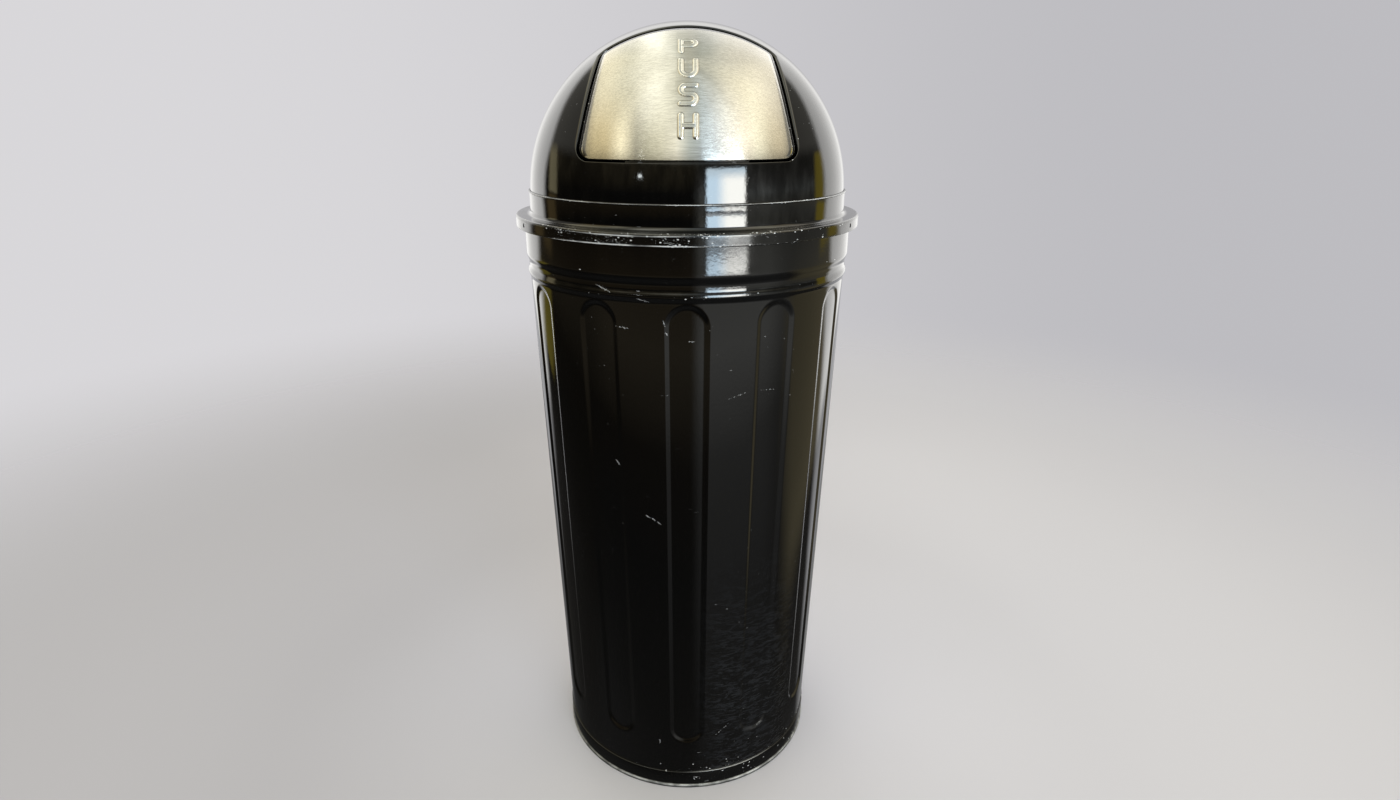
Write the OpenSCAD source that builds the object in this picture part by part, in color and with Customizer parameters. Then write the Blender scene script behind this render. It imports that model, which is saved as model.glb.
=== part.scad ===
// Dome top waste receptacle: a tapered, fluted sheet steel bin with a lift-off bullet lid,
// a spring-loaded push door in the lid, and a galvanised liner that stands inside.
// Millimetres. +Z is up, the door faces -Y, and the origin is where the axis meets the floor.

/* [Bin body] */
// Outer radius of the body where its straight taper meets the floor plane
body_foot_r = 165.4; // [150:0.1:170]
// Growth of the radius for each millimetre of height
body_taper = 0.0339; // [0.02:0.0001:0.036]
// Thickness of the painted steel sheet
sheet_t = 1; // [0.8:0.1:1.2]
// Height at which the taper ends and the swaged rings begin
taper_top_z = 638; // [600:1:638]
// Height of the round bead's crest above the end of the taper
bead_rise = 8.5; // [7:0.5:9]
// How far the round bead stands out
bead_out = 1.6; // [0.5:0.1:2.5]
// Height of the flat groove above the bead
groove_flat_h = 2; // [0:0.5:6]
// How far the groove stands out from the end of the taper
groove_out = 0.9; // [0:0.1:1.5]
// Height of the step from the groove out to the wide band
band_step_h = 11; // [8:0.5:16]
// Height of the wide band, from the groove to the centre of the rolled rim
band_h = 38.1; // [34:0.1:46]
// How far the wide band under the lid stands out from the end of the taper
band_out = 3.5; // [2:0.1:5]
// Outer radius of the rolled rim's section
rim_roll_r = 3.4; // [3:0.1:3.6]
// Width of the folded seam at the back
seam_w = 8; // [5:0.5:12]
// How far the folded seam stands out of the wall
seam_rise = 1; // [0.6:0.1:1.2]

/* [Flutes] */
// Number of flutes round the body
flute_count = 12; // [6:1:14]
// Half of the angle that a flute spans, in degrees
flute_half_angle = 6.4; // [4:0.1:8]
// Depth of a flute
flute_depth = 2.2; // [1:0.1:2.6]
// Height of a flute's lowest point
flute_bottom_z = 75; // [50:1:150]
// Distance of a flute's highest point below the end of the taper
flute_top_gap = 2; // [1:0.5:80]

/* [Base] */
// Height of the hoop's upper edge
hoop_top_z = 25; // [18:1:40]
// Thickness of the hoop
hoop_t = 1.3; // [1:0.1:2]
// Height of the floor guard's lip
guard_h = 5; // [4.5:0.1:7]
// Height at which the sheet edges stand in the floor guard
edge_z = 2.6; // [2:0.1:3.5]
// Height of the bottom pan's rim
pan_z = 14; // [12:0.5:20]
// Depth of the dish in the bottom pan
pan_dish = 3; // [1:0.5:5]
// Radius of the dish in the bottom pan
pan_dish_r = 124; // [80:1:135]

/* [Liner] */
// Clearance round the liner, measured from the body sheet at a flute
liner_clear = 4.2; // [2:0.1:6]
// Thickness of the galvanised sheet
liner_t = 1; // [0.8:0.1:1.2]
// Depth of the liner's rolled rim below the bin's, from centre to centre
liner_drop = 20.1; // [16:0.1:60]
// Outer radius of the section of the liner's rolled rim
liner_roll_r = 3; // [2.6:0.1:3.2]
// Rise of the liner's bottom above its lower edge
liner_bottom_rise = 6; // [3:0.5:10]
// Gap between the liner and the bottom pan
liner_rest_gap = 0.3; // [0.1:0.1:0.6]

/* [Liner handles] */
// Distance of the handle's pivot below the centre of the liner's rim
handle_drop = 34; // [26:1:60]
// Gap between the handle's sides and the ear
handle_side_gap = 2; // [1:0.5:8]
// Height of the handle from its pivot to the middle of its grip
handle_h = 42; // [30:1:60]
// Radius of the handle's wire
handle_wire_r = 3; // [2.5:0.1:3.5]
// Width of the ear's plate
ear_w = 52; // [48:1:56]
// Height of the ear's plate
ear_h = 24; // [20:1:30]
// Thickness of the ear's plate
ear_t = 1.6; // [1:0.1:2]
// Length of the ear's barrel
barrel_l = 36; // [24:1:40]
// Gap between the ear's plate and its barrel, bridged by a web
barrel_gap = 2; // [1.5:0.1:3]
// Wall of the ear's barrel
barrel_wall = 2; // [1.5:0.1:2.5]
// Radius of a rivet's shank
rivet_r = 2; // [1.5:0.1:2.5]
// Radius of a rivet's head
rivet_head_r = 3.6; // [3:0.1:4]

/* [Lid] */
// How much smaller the dome's radius is than the wide band's
dome_inset = 8.5; // [8:0.1:12]
// Height of the dome's centre above the flange
collar_h = 22.5; // [20:0.5:30]
// Height of the dome's lower edge below its centre
dome_tuck = 17.5; // [12:0.5:20]
// Gap between the bin's rolled rim and the lid's skirt
skirt_gap = 2; // [1:0.1:5]
// Height of the lid's skirt
skirt_h = 13; // [10:0.5:16]
// Gap between the lid's flange and the bin's rim
lid_rest_gap = 0.3; // [0.1:0.1:0.6]
// Thickness of the collar's sheet
collar_t = 1.2; // [1:0.1:1.5]
// Height of the collar's upper edge above the dome's centre
collar_over = 3.5; // [2:0.5:6]
// Radius of the fillet between the collar and its flange
collar_fillet_r = 4.5; // [3:0.5:6]
// Radius of the rounded outer edge of the flange
flange_edge_r = 2.6; // [2:0.1:3.5]
// Radius of the two holes in the skirt
skirt_hole_r = 2.4; // [1.5:0.1:3]
// Angle of the two holes from the front
skirt_hole_angle = 62; // [50:1:80]

/* [Door opening] */
// Height of the opening's lower edge above the dome's centre
open_low = 41; // [38:0.5:48]
// Half width of the opening at its lower edge
open_half_w = 114; // [100:0.5:116]
// Lean of the opening's sides from the vertical, in degrees
side_lean = 12; // [8:0.5:14]
// Distance of the opening's upper edge in front of the axis
open_back = 60; // [56:0.5:66]
// Half width of the opening at its upper edge
open_top_half_w = 92; // [88:0.5:94]
// Corner radius of the opening
open_corner_r = 12; // [9:0.5:16]
// Depth of the edge that is turned in round the opening
lip_depth = 7; // [4:0.5:8]

/* [Door] */
// Gap between the door's panel and the sides of the opening
panel_side_gap = 2.4; // [2:0.1:4]
// Gap between the door and the lower edge of the opening
panel_low_gap = 2.5; // [2.2:0.1:4]
// Gap between the door's panel and the upper edge of the opening
panel_top_gap = 4; // [3:0.1:6]
// Depth that the panel's outer face is set below the dome's
panel_inset = 0.8; // [0.6:0.1:1.2]
// Width of the panel that shows beside the face plate
face_side_border = 4; // [2:0.1:8]
// Width of the panel that shows above the face plate
face_top_border = 8; // [3:0.1:10]
// Thickness of the stainless face plate
face_t = 0.9; // [0.7:0.1:1.2]
// Depth of the edge that is turned in round the panel
panel_lip = 7; // [5:0.5:8]

/* [Hinge] */
// Depth of the hinge axis below the dome's outer surface
hinge_depth = 29.5; // [28:0.5:32]
// Distance of the hinge axis in front of the opening's upper edge
hinge_ahead = 12; // [10:0.5:15]
// Radius of the hinge rod
rod_r = 3; // [2.5:0.1:3.5]
// Length of the hinge rod outside the clips
rod_end_l = 1.7; // [0.5:0.1:3]
// Running clearance round the rod
rod_clear = 0.06; // [0.02:0.01:0.1]
// Radius of the eyes that hold the rod
eye_r = 6.5; // [5.5:0.1:7]
// Thickness of the hinge plates
plate_t = 2; // [1.5:0.1:2.5]
// Distance of the door's hinge lugs from the middle
lug_x = 55; // [48:0.5:57]
// Distance of the lid's hinge brackets from the middle
bracket_x = 76; // [74.5:0.5:77]
// Width of the welding tabs on lugs and brackets
tab_w = 12; // [8:0.5:13]
// Thickness of the clips on the rod's ends
clip_t = 1.2; // [0.8:0.1:1.6]

/* [Springs] */
// Radius of the spring wire
spring_wire_r = 0.7; // [0.5:0.1:0.8]
// Radius of the coil, to the middle of the wire
spring_coil_r = 5.2; // [4.8:0.1:5.8]
// Number of turns in the coil
spring_turns = 6; // [4:1:7]

/* [Door stop] */
// Half width of the stop strip
stop_half_w = 60; // [50:1:70]
// Thickness of the stop strip
stop_t = 1.2; // [1:0.1:1.5]
// Depth that the stop strip hangs below the door's lower edge
stop_hang = 9; // [7:0.5:9]
// Radius of a rubber bumper
bumper_r = 3; // [2:0.1:3.2]
// Radius of a bumper's stem
bumper_stem_r = 1.2; // [1:0.1:1.5]
// Distance of each bumper from the middle
bumper_x = 45; // [20:1:50]
// Gap between a bumper and the dome
bumper_gap = 0.3; // [0.2:0.1:0.6]

/* [Hidden] */
$fn = 120;

black = "#16171a";
steel = "#c9c4b6";
zinc = "#9aa0a3";
rubber = "#202020";
plated = "#b5b2a8";

far = 400; // longer than any cut needs to be
fit = 0.1; // gap between pieces that are nested or welded
seat_gap = 0.3; // gap between pieces that are riveted together

// ---- Body profile ----
bead_half = 7;
groove_low_z = taper_top_z + 2 * bead_rise + groove_flat_h;
groove_high_z = groove_low_z + band_step_h;
groove_r = taper_r(taper_top_z) + groove_out;
band_r = taper_r(taper_top_z) + band_out;
rim_z = groove_high_z + band_h;
rim_roll_x = band_r - sheet_t + rim_roll_r + 0.4 * sheet_t;
rim_top_z = rim_z + rim_roll_r;
flute_top_z = taper_top_z - flute_top_gap;

// Outer radius of the straight taper at a height
function taper_r(z) = body_foot_r + body_taper * z;

// Smooth step from 0 to 1 as t goes from 0 to 1
function ease(t) = let (u = min(1, max(0, t))) u * u * (3 - 2 * u);

// Height of a raised cosine bump of half width h at distance d from its crest
function bump(d, h) = abs(d) < h ? (1 + cos(180 * d / h)) / 2 : 0;

// Outer radius of the swaged rings: a bead, a groove, then the step out to the wide band
function ring_r(z) =
    taper_r(taper_top_z)
    + (groove_r - taper_r(taper_top_z)) * ease((z - taper_top_z) / bead_rise)
    + bead_out * bump(z - taper_top_z - bead_rise, bead_half)
    + (band_r - groove_r) * ease((z - groove_low_z) / (groove_high_z - groove_low_z));

ring_step = (groove_high_z - taper_top_z) / 20;
body_line = concat(
    [[taper_r(edge_z), edge_z]],
    [for (i = [0 : 20]) let (z = taper_top_z + i * ring_step) [ring_r(z), z]],
    [[band_r, rim_z]]
);

// ---- Liner profile ----
liner_low_z = pan_z + liner_rest_gap;
liner_inset = sheet_t + flute_depth + liner_clear;
function liner_r(z) = taper_r(z) - liner_inset;
liner_rim_z = rim_z - liner_drop;
liner_roll_x = liner_r(liner_rim_z) - liner_t + liner_roll_r + 0.4 * liner_t;
handle_z = liner_rim_z - handle_drop;
ear_face_r = liner_r(handle_z) - liner_t - seat_gap;
barrel_r = handle_wire_r + rod_clear + barrel_wall;
handle_x = ear_face_r - ear_t - barrel_gap - barrel_r;
handle_w = ear_w + 2 * (handle_side_gap + handle_wire_r);
rivet_angle = asin((ear_w + barrel_l) / 4 / ear_face_r);

// ---- Lid and door ----
flange_under_z = rim_top_z + lid_rest_gap;
flange_top_z = flange_under_z + collar_t;
flange_r = rim_roll_x + rim_roll_r + skirt_gap + collar_t;
dome_r = band_r - dome_inset;
dome_z = flange_top_z + collar_h;
collar_in_r = dome_r + fit;
panel_r = dome_r - panel_inset;
panel_in_r = panel_r - sheet_t;
face_in_r = panel_r + fit;
face_r = face_in_r + face_t;
open_low_z = dome_z + open_low;
door_low_z = open_low_z + panel_low_gap;
open_plan_slope = 0.27;
hinge_y = -(open_back + hinge_ahead);
hinge_z = dome_z + sqrt(pow(dome_r - hinge_depth, 2) - hinge_y * hinge_y);
rod_half_l = bracket_x + plate_t / 2 + fit + clip_t + rod_end_l;

// Points of an arc about a centre, from one angle to another
function arc(cx, cy, r, from, to, n = 8) =
    [for (i = [0 : n]) let (a = from + (to - from) * i / n) [cx + r * cos(a), cy + r * sin(a)]];

// ---- Shared shapes ----

// A sheet that is spun from an outer line of [radius, height] points, with its wall inward
module spun_sheet(line, t) {
    inner = [for (i = [len(line) - 1 : -1 : 0]) [line[i][0] - t, line[i][1]]];
    rotate_extrude()
        polygon(concat(line, inner));
}

// The solid inside an outer line
module spun_solid(line) {
    low = line[0][1];
    high = line[len(line) - 1][1];
    rotate_extrude()
        polygon(concat([[0, low]], line, [[0, high]]));
}

// One flute's outline, run through the front wall: two round ends joined by a tapered strip
module flute_block(grow) {
    low_r = taper_r(flute_bottom_z) * sin(flute_half_angle);
    high_r = taper_r(flute_top_z) * sin(flute_half_angle);
    low_c = flute_bottom_z + low_r;
    high_c = flute_top_z - high_r;
    a = low_r + grow;
    b = high_r + grow;
    outline = concat(
        arc(0, high_c, b, 0, 180, 16),
        arc(0, low_c, a, 180, 360, 16)
    );
    rotate([90, 0, 0])
        translate([0, 0, body_foot_r / 2])
            linear_extrude(height = body_foot_r)
                polygon(outline);
}

// What is pressed inward at every flute: the flute blocks outside a cone of smaller radius
module flute_presses(grow, floor_drop) {
    difference() {
        for (i = [0 : flute_count - 1])
            rotate([0, 0, i * 360 / flute_count])
                flute_block(grow);
        rotate_extrude()
            polygon([
                [0, 0],
                [taper_r(0) - floor_drop, 0],
                [taper_r(rim_z) - floor_drop, rim_z],
                [0, rim_z]
            ]);
    }
}

// Outline of a door or its opening from the front: leaning sides and rounded lower corners.
// side and low are the distances by which it is smaller than the opening.
module front_outline(side, low, corner) {
    lean = tan(side_lean);
    half = open_half_w - side / cos(side_lean) - lean * low;
    base = open_low_z + low;
    // The arc's centre lies a radius inside both the lower edge and the leaning side
    centre_x = half - lean * corner - corner / cos(side_lean);
    right = arc(centre_x, base + corner, corner, -90, side_lean, 6);
    left = [for (i = [len(right) - 1 : -1 : 0]) [-right[i][0], right[i][1]]];
    high = [half - lean * far, base + far];
    polygon(concat(right, [high, [-high[0], high[1]]], left));
}

// Outline of a door or its opening from above: a straight upper edge with rounded corners
module plan_outline(side, back, corner) {
    lean = atan(open_plan_slope);
    edge = open_back + back;
    half = open_top_half_w - side + open_plan_slope * back;
    centre_x = half + open_plan_slope * corner - corner / cos(lean);
    right = arc(centre_x, -(edge + corner), corner, -lean, 90, 6);
    left = [for (i = [len(right) - 1 : -1 : 0]) [-right[i][0], right[i][1]]];
    ahead = [half + open_plan_slope * far, -(edge + far)];
    polygon(concat([ahead], right, left, [[-ahead[0], ahead[1]]]));
}

// The column of space in front of the dome's axis that a door or its opening takes
module door_column(side, low, back, corner) {
    intersection() {
        rotate([90, 0, 0])
            linear_extrude(height = far)
                front_outline(side, low, corner);
        translate([0, 0, dome_z])
            linear_extrude(height = far)
                plan_outline(side, back, corner);
    }
}

// A hollow ball about the dome's centre
module ball_shell(outer, inner) {
    translate([0, 0, dome_z])
        difference() {
            sphere(r = outer);
            sphere(r = inner);
        }
}

// A plate square to the hinge axis, drawn by [y, z] points measured from the axis
module hinge_plate(x, points) {
    translate([x - plate_t / 2, hinge_y, hinge_z])
        rotate([90, 0, 90])
            linear_extrude(height = plate_t)
                polygon(points);
}

// A rod-shaped space on the hinge axis
module on_hinge_axis(x0, x1, r) {
    translate([x0, hinge_y, hinge_z])
        rotate([0, 90, 0])
            cylinder(r = r, h = x1 - x0);
}

// ---- Bin body ----

module body_shell() {
    color(black)
        union() {
            difference() {
                spun_solid(body_line);
                flute_presses(0, flute_depth);
                difference() {
                    spun_solid([for (p = [[body_line[0][0], 0], each body_line, [band_r, rim_z + 1]])
                        [p[0] - sheet_t, p[1]]]);
                    flute_presses(sheet_t, flute_depth + sheet_t);
                }
            }
            rotate_extrude()
                translate([rim_roll_x, rim_z])
                    difference() {
                        circle(r = rim_roll_r, $fn = 40);
                        circle(r = rim_roll_r - sheet_t, $fn = 40);
                    }
            lock_seam();
        }
}

// The folded seam that joins the wall's edges, between two flutes at the back
module lock_seam() {
    seam_angle = (floor(flute_count / 2) + 0.5) * 360 / flute_count;
    low = hoop_top_z + 1;
    intersection() {
        spun_sheet([
            [taper_r(low) + seam_rise, low],
            [taper_r(taper_top_z) + seam_rise, taper_top_z]
        ], seam_rise + sheet_t / 2);
        rotate([0, 0, seam_angle])
            translate([-seam_w / 2, -far, 0])
                cube([seam_w, far, far * 2]);
    }
}

module rim_wire() {
    color(plated)
        rotate_extrude()
            translate([rim_roll_x, rim_z])
                circle(r = rim_roll_r - sheet_t - fit, $fn = 32);
}

module bottom_pan() {
    skirt = taper_r(edge_z) - sheet_t - fit;
    top = taper_r(pan_z) - sheet_t - fit;
    color(black)
        rotate_extrude()
            polygon([
                [0, pan_z - pan_dish - sheet_t],
                [pan_dish_r, pan_z - pan_dish - sheet_t],
                [pan_dish_r + pan_dish, pan_z - sheet_t],
                [top - sheet_t, pan_z - sheet_t],
                [skirt - sheet_t, edge_z],
                [skirt, edge_z],
                [top, pan_z],
                [pan_dish_r + pan_dish, pan_z],
                [pan_dish_r, pan_z - pan_dish],
                [0, pan_z - pan_dish]
            ]);
}

module base_hoop() {
    low = taper_r(guard_h) + fit;
    high = taper_r(hoop_top_z) + fit;
    bevel = hoop_t / 2;
    color(black)
        rotate_extrude()
            polygon([
                [low, guard_h + fit],
                [low + hoop_t, guard_h + fit],
                [high + hoop_t, hoop_top_z - bevel],
                [high + hoop_t - bevel, hoop_top_z],
                [high, hoop_top_z]
            ]);
}

module floor_guard() {
    edge_out = taper_r(guard_h) + fit;
    edge_in = taper_r(edge_z) - 2 * sheet_t - 2 * fit;
    lip = 2.2;
    low_round = 1.6;
    high_round = 1.2;
    bevel = 0.8;
    color(rubber)
        rotate_extrude()
            polygon(concat(
                [[edge_in - lip + bevel, 0]],
                arc(edge_out + lip - low_round, low_round, low_round, -90, 0, 5),
                arc(edge_out + lip - high_round, guard_h - high_round, high_round, 0, 90, 5),
                [[edge_out, guard_h], [edge_out, edge_z - fit], [edge_in, edge_z - fit], [edge_in, guard_h],
                 [edge_in - lip + bevel, guard_h], [edge_in - lip, guard_h - bevel], [edge_in - lip, bevel]]
            ));
}

// ---- Liner ----

// The rivet holes on both sides, from inside the ears to outside the liner
module liner_rivet_holes() {
    reach = 2 * ear_t + 2 * liner_t;
    for (side = [0, 180])
        for (a = [-rivet_angle, rivet_angle])
            rotate([0, 0, side + a])
                translate([ear_face_r - reach, 0, handle_z])
                    rotate([0, 90, 0])
                        cylinder(r = rivet_r + rod_clear, h = 2 * reach, $fn = 24);
}

module liner_wall() {
    line = [
        [liner_r(liner_low_z), liner_low_z],
        [liner_r(liner_rim_z), liner_rim_z]
    ];
    color(zinc)
        union() {
            difference() {
                spun_sheet(line, liner_t);
                liner_rivet_holes();
            }
            rotate_extrude()
                translate([liner_roll_x, liner_rim_z])
                    difference() {
                        circle(r = liner_roll_r, $fn = 40);
                        circle(r = liner_roll_r - liner_t, $fn = 40);
                    }
        }
}

module liner_bottom() {
    top_z = liner_low_z + liner_bottom_rise;
    low = liner_r(liner_low_z) - liner_t - fit;
    high = liner_r(top_z) - liner_t - fit;
    color(zinc)
        rotate_extrude()
            polygon([
                [0, top_z - liner_t],
                [high - liner_t, top_z - liner_t],
                [low - liner_t, liner_low_z],
                [low, liner_low_z],
                [high, top_z],
                [0, top_z]
            ]);
}

module liner_rim_wire() {
    color(plated)
        rotate_extrude()
            translate([liner_roll_x, liner_rim_z])
                circle(r = liner_roll_r - liner_t - fit, $fn = 32);
}

// An ear on the +X side: a curved plate on the liner's wall and a barrel for the handle
module liner_ear() {
    color(zinc)
        difference() {
            union() {
                intersection() {
                    spun_sheet([
                        [liner_r(handle_z - ear_h) - liner_t - seat_gap, handle_z - ear_h],
                        [liner_r(handle_z + ear_h) - liner_t - seat_gap, handle_z + ear_h]
                    ], ear_t);
                    translate([0, -ear_w / 2, handle_z - ear_h / 2])
                        cube([far, ear_w, ear_h]);
                }
                translate([handle_x, -barrel_l / 2, handle_z])
                    rotate([-90, 0, 0])
                        cylinder(r = barrel_r, h = barrel_l, $fn = 48);
                translate([handle_x, -barrel_l / 2, handle_z - barrel_r / 2])
                    cube([barrel_r + barrel_gap + fit, barrel_l, barrel_r]);
            }
            translate([handle_x, -barrel_l, handle_z])
                rotate([-90, 0, 0])
                    cylinder(r = handle_wire_r + rod_clear, h = 2 * barrel_l, $fn = 48);
            liner_rivet_holes();
        }
}

module liner_ear_left() {
    rotate([0, 0, 180])
        liner_ear();
}

module liner_ear_right() {
    liner_ear();
}

module liner_rivets() {
    head_h = 1.6;
    inner = ear_face_r - ear_t - seat_gap;
    outer = ear_face_r + liner_t + 2 * seat_gap;
    color(plated)
        for (side = [0, 180])
            for (a = [-rivet_angle, rivet_angle])
                rotate([0, 0, side + a])
                    translate([0, 0, handle_z])
                        rotate([0, 90, 0]) {
                            translate([0, 0, inner])
                                cylinder(r = rivet_r, h = outer - inner, $fn = 24);
                            translate([0, 0, inner - head_h])
                                cylinder(r = rivet_head_r, h = head_h, $fn = 24);
                            translate([0, 0, outer])
                                cylinder(r = rivet_head_r, h = head_h, $fn = 24);
                        }
}

// A drop handle on the +X side, hanging from its pivot
module liner_handle() {
    half = handle_w / 2;
    color(plated)
        translate([handle_x, 0, handle_z]) {
            translate([0, -half, 0])
                rotate([-90, 0, 0])
                    cylinder(r = handle_wire_r, h = handle_w, $fn = 32);
            for (y = [-half, half])
                translate([0, y, -handle_h]) {
                    cylinder(r = handle_wire_r, h = handle_h, $fn = 32);
                    sphere(r = handle_wire_r, $fn = 32);
                    translate([0, 0, handle_h])
                        sphere(r = handle_wire_r, $fn = 32);
                }
            translate([0, -half, -handle_h])
                rotate([-90, 0, 0])
                    cylinder(r = handle_wire_r, h = handle_w, $fn = 32);
        }
}

module liner_handle_left() {
    rotate([0, 0, 180])
        liner_handle();
}

module liner_handle_right() {
    liner_handle();
}

// ---- Lid ----

module lid_dome() {
    lip_low_z = open_low_z + open_corner_r + lip_depth / 2;
    color(black)
        union() {
            difference() {
                ball_shell(dome_r, dome_r - sheet_t);
                translate([0, 0, dome_z - dome_tuck - far])
                    cylinder(r = far, h = far);
                door_column(0, 0, 0, open_corner_r);
            }
            intersection() {
                ball_shell(dome_r - sheet_t / 2, dome_r - lip_depth);
                difference() {
                    door_column(-sheet_t, -sheet_t, -sheet_t, open_corner_r + sheet_t);
                    door_column(0, 0, 0, open_corner_r);
                }
                translate([-far / 2, -far, lip_low_z])
                    cube([far, far, far]);
            }
        }
}

module lid_collar() {
    out_r = collar_in_r + collar_t;
    f = collar_fillet_r;
    e = flange_edge_r;
    t = collar_t;
    outer = concat(
        [[out_r, dome_z + collar_over]],
        arc(out_r + f, flange_top_z + f, f, 180, 270, 8),
        arc(flange_r - e, flange_top_z - e, e, 90, 0, 8),
        [[flange_r, flange_top_z - skirt_h]]
    );
    inner = concat(
        [[flange_r - t, flange_top_z - skirt_h]],
        arc(flange_r - e, flange_top_z - e, e - t, 0, 90, 8),
        arc(out_r + f, flange_top_z + f, f + t, 270, 180, 8),
        [[collar_in_r, dome_z + collar_over]]
    );
    color(black)
        difference() {
            union() {
                rotate_extrude()
                    polygon(concat(outer, inner));
                rotate_extrude()
                    translate([out_r, dome_z + collar_over - t])
                        circle(r = t * 0.9, $fn = 24);
            }
            for (a = [-skirt_hole_angle, skirt_hole_angle])
                rotate([0, 0, a])
                    translate([0, -flange_r + 3 * t, flange_top_z - skirt_h / 2])
                        rotate([90, 0, 0])
                            cylinder(r = skirt_hole_r, h = far, $fn = 32);
        }
}

// A bracket that hangs from the dome behind the opening and holds the rod
module hinge_bracket(x) {
    back = hinge_ahead + sheet_t + 2 * fit;
    reach = 24;
    tab_x = x - sign(x) * (tab_w + plate_t) / 2 - tab_w / 2;
    seat_r = dome_r - sheet_t - fit;
    arm = [[0, -eye_r], [back + reach, 2], [back + reach, far], [back, far], [back, eye_r * 0.6], [0, eye_r]];
    color(plated)
        difference() {
            union() {
                intersection() {
                    union() {
                        hinge_plate(x, arm);
                        on_hinge_axis(x - plate_t / 2, x + plate_t / 2, eye_r);
                    }
                    translate([0, 0, dome_z])
                        sphere(r = seat_r);
                }
                intersection() {
                    translate([tab_x, hinge_y + back, hinge_z])
                        cube([tab_w, reach, far]);
                    ball_shell(seat_r, seat_r - plate_t);
                }
            }
            on_hinge_axis(x - plate_t, x + plate_t, rod_r + rod_clear);
        }
}

module hinge_bracket_left() {
    hinge_bracket(-bracket_x);
}

module hinge_bracket_right() {
    hinge_bracket(bracket_x);
}

module hinge_rod() {
    color(plated)
        on_hinge_axis(-rod_half_l, rod_half_l, rod_r);
}

// Spring clips pressed on the rod's ends, outside the brackets
module rod_clips() {
    start = bracket_x + plate_t / 2 + fit;
    color(plated)
        for (x = [-start - clip_t, start])
            difference() {
                on_hinge_axis(x, x + clip_t, rod_r + 2.2);
                on_hinge_axis(x - 1, x + clip_t + 1, rod_r + rod_clear);
            }
}

// ---- Door ----

module door_panel() {
    side = panel_side_gap;
    low = panel_low_gap;
    back = panel_top_gap;
    corner = open_corner_r - 2;
    color(black)
        union() {
            intersection() {
                ball_shell(panel_r, panel_in_r);
                door_column(side, low, back, corner);
            }
            intersection() {
                ball_shell(panel_in_r + sheet_t / 2, panel_in_r - panel_lip);
                difference() {
                    door_column(side, low, back, corner);
                    door_column(side + sheet_t, low + sheet_t, back + sheet_t, corner - sheet_t);
                }
            }
        }
}

module door_face() {
    color(steel)
        intersection() {
            ball_shell(face_r, face_in_r);
            door_column(panel_side_gap + face_side_border, panel_low_gap,
                        panel_top_gap + face_top_border, open_corner_r - 3);
        }
}

// A lug that is welded inside the door's panel and turns on the rod
module hinge_lug(x) {
    tab_x = x - sign(x) * (tab_w + plate_t) / 2 - tab_w / 2;
    seat_r = panel_in_r - fit;
    strut = [[-eye_r, 0], [-eye_r, far], [eye_r, far], [eye_r, 0]];
    color(plated)
        difference() {
            union() {
                intersection() {
                    union() {
                        hinge_plate(x, strut);
                        on_hinge_axis(x - plate_t / 2, x + plate_t / 2, eye_r);
                    }
                    translate([0, 0, dome_z])
                        sphere(r = seat_r);
                }
                intersection() {
                    translate([tab_x, hinge_y - eye_r, hinge_z])
                        cube([tab_w, 2 * eye_r, far]);
                    ball_shell(seat_r, seat_r - plate_t);
                }
            }
            on_hinge_axis(x - plate_t, x + plate_t, rod_r + rod_clear);
        }
}

module hinge_lug_left() {
    hinge_lug(-lug_x);
}

module hinge_lug_right() {
    hinge_lug(lug_x);
}

stop_out_r = dome_r - sheet_t - 2;
stop_top_z = door_low_z - fit;

// Places its children on a bumper's axis, which points straight out from the dome's centre
module at_bumpers() {
    up = stop_top_z - stop_hang / 2 - dome_z;
    out = sqrt(stop_out_r * stop_out_r - bumper_x * bumper_x - up * up);
    for (s = [-1, 1])
        translate([0, 0, dome_z])
            rotate([0, 0, s * asin(bumper_x / sqrt(out * out + bumper_x * bumper_x)) - 90])
                rotate([0, 90 - asin(up / stop_out_r), 0])
                    children();
}

// An angle strip under the panel's lower edge, reaching down behind the dome
module door_stop() {
    color(black)
        difference() {
            intersection() {
                union() {
                    ball_shell(stop_out_r, stop_out_r - stop_t);
                    intersection() {
                        ball_shell(stop_out_r, stop_out_r - panel_lip);
                        translate([-far / 2, -far, stop_top_z - stop_t])
                            cube([far, far, stop_t]);
                    }
                }
                translate([-stop_half_w, -far, stop_top_z - stop_hang])
                    cube([2 * stop_half_w, far, stop_hang]);
            }
            at_bumpers()
                cylinder(r = bumper_stem_r + rod_clear, h = far, $fn = 24);
        }
}

// Two rubber buttons with stems through the stop strip
module door_bumpers() {
    low = stop_out_r + fit;
    high = sqrt(pow(dome_r - sheet_t - bumper_gap, 2) - bumper_r * bumper_r);
    stem_out = 1;
    color(rubber)
        at_bumpers() {
            translate([0, 0, low])
                cylinder(r = bumper_r, h = high - low, $fn = 32);
            translate([0, 0, stop_out_r - stop_t - stem_out])
                cylinder(r = bumper_stem_r, h = low - stop_out_r + stop_t + stem_out, $fn = 24);
        }
}

// ---- Springs ----

rings_a_turn = 8;
wire_sides = 6;
spring_side_gap = 0.6;
spring_room = bracket_x - lug_x - plate_t - 2 * spring_side_gap;
spring_pitch = (spring_room - 2 * spring_wire_r) / spring_turns;
leg_back = 9;
leg_door = 11;
coil_rings = rings_a_turn * spring_turns;

// Angle about the hinge axis, and distance along it, of ring i of the coil
function coil_angle(i) = -90 - 360 * i / rings_a_turn;
function coil_point(i) =
    let (a = coil_angle(i))
    [-spring_pitch * i / rings_a_turn, spring_coil_r * cos(a), spring_coil_r * sin(a)];
function coil_tangent(i) = let (a = coil_angle(i)) [0, sin(a), -cos(a)];

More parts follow.
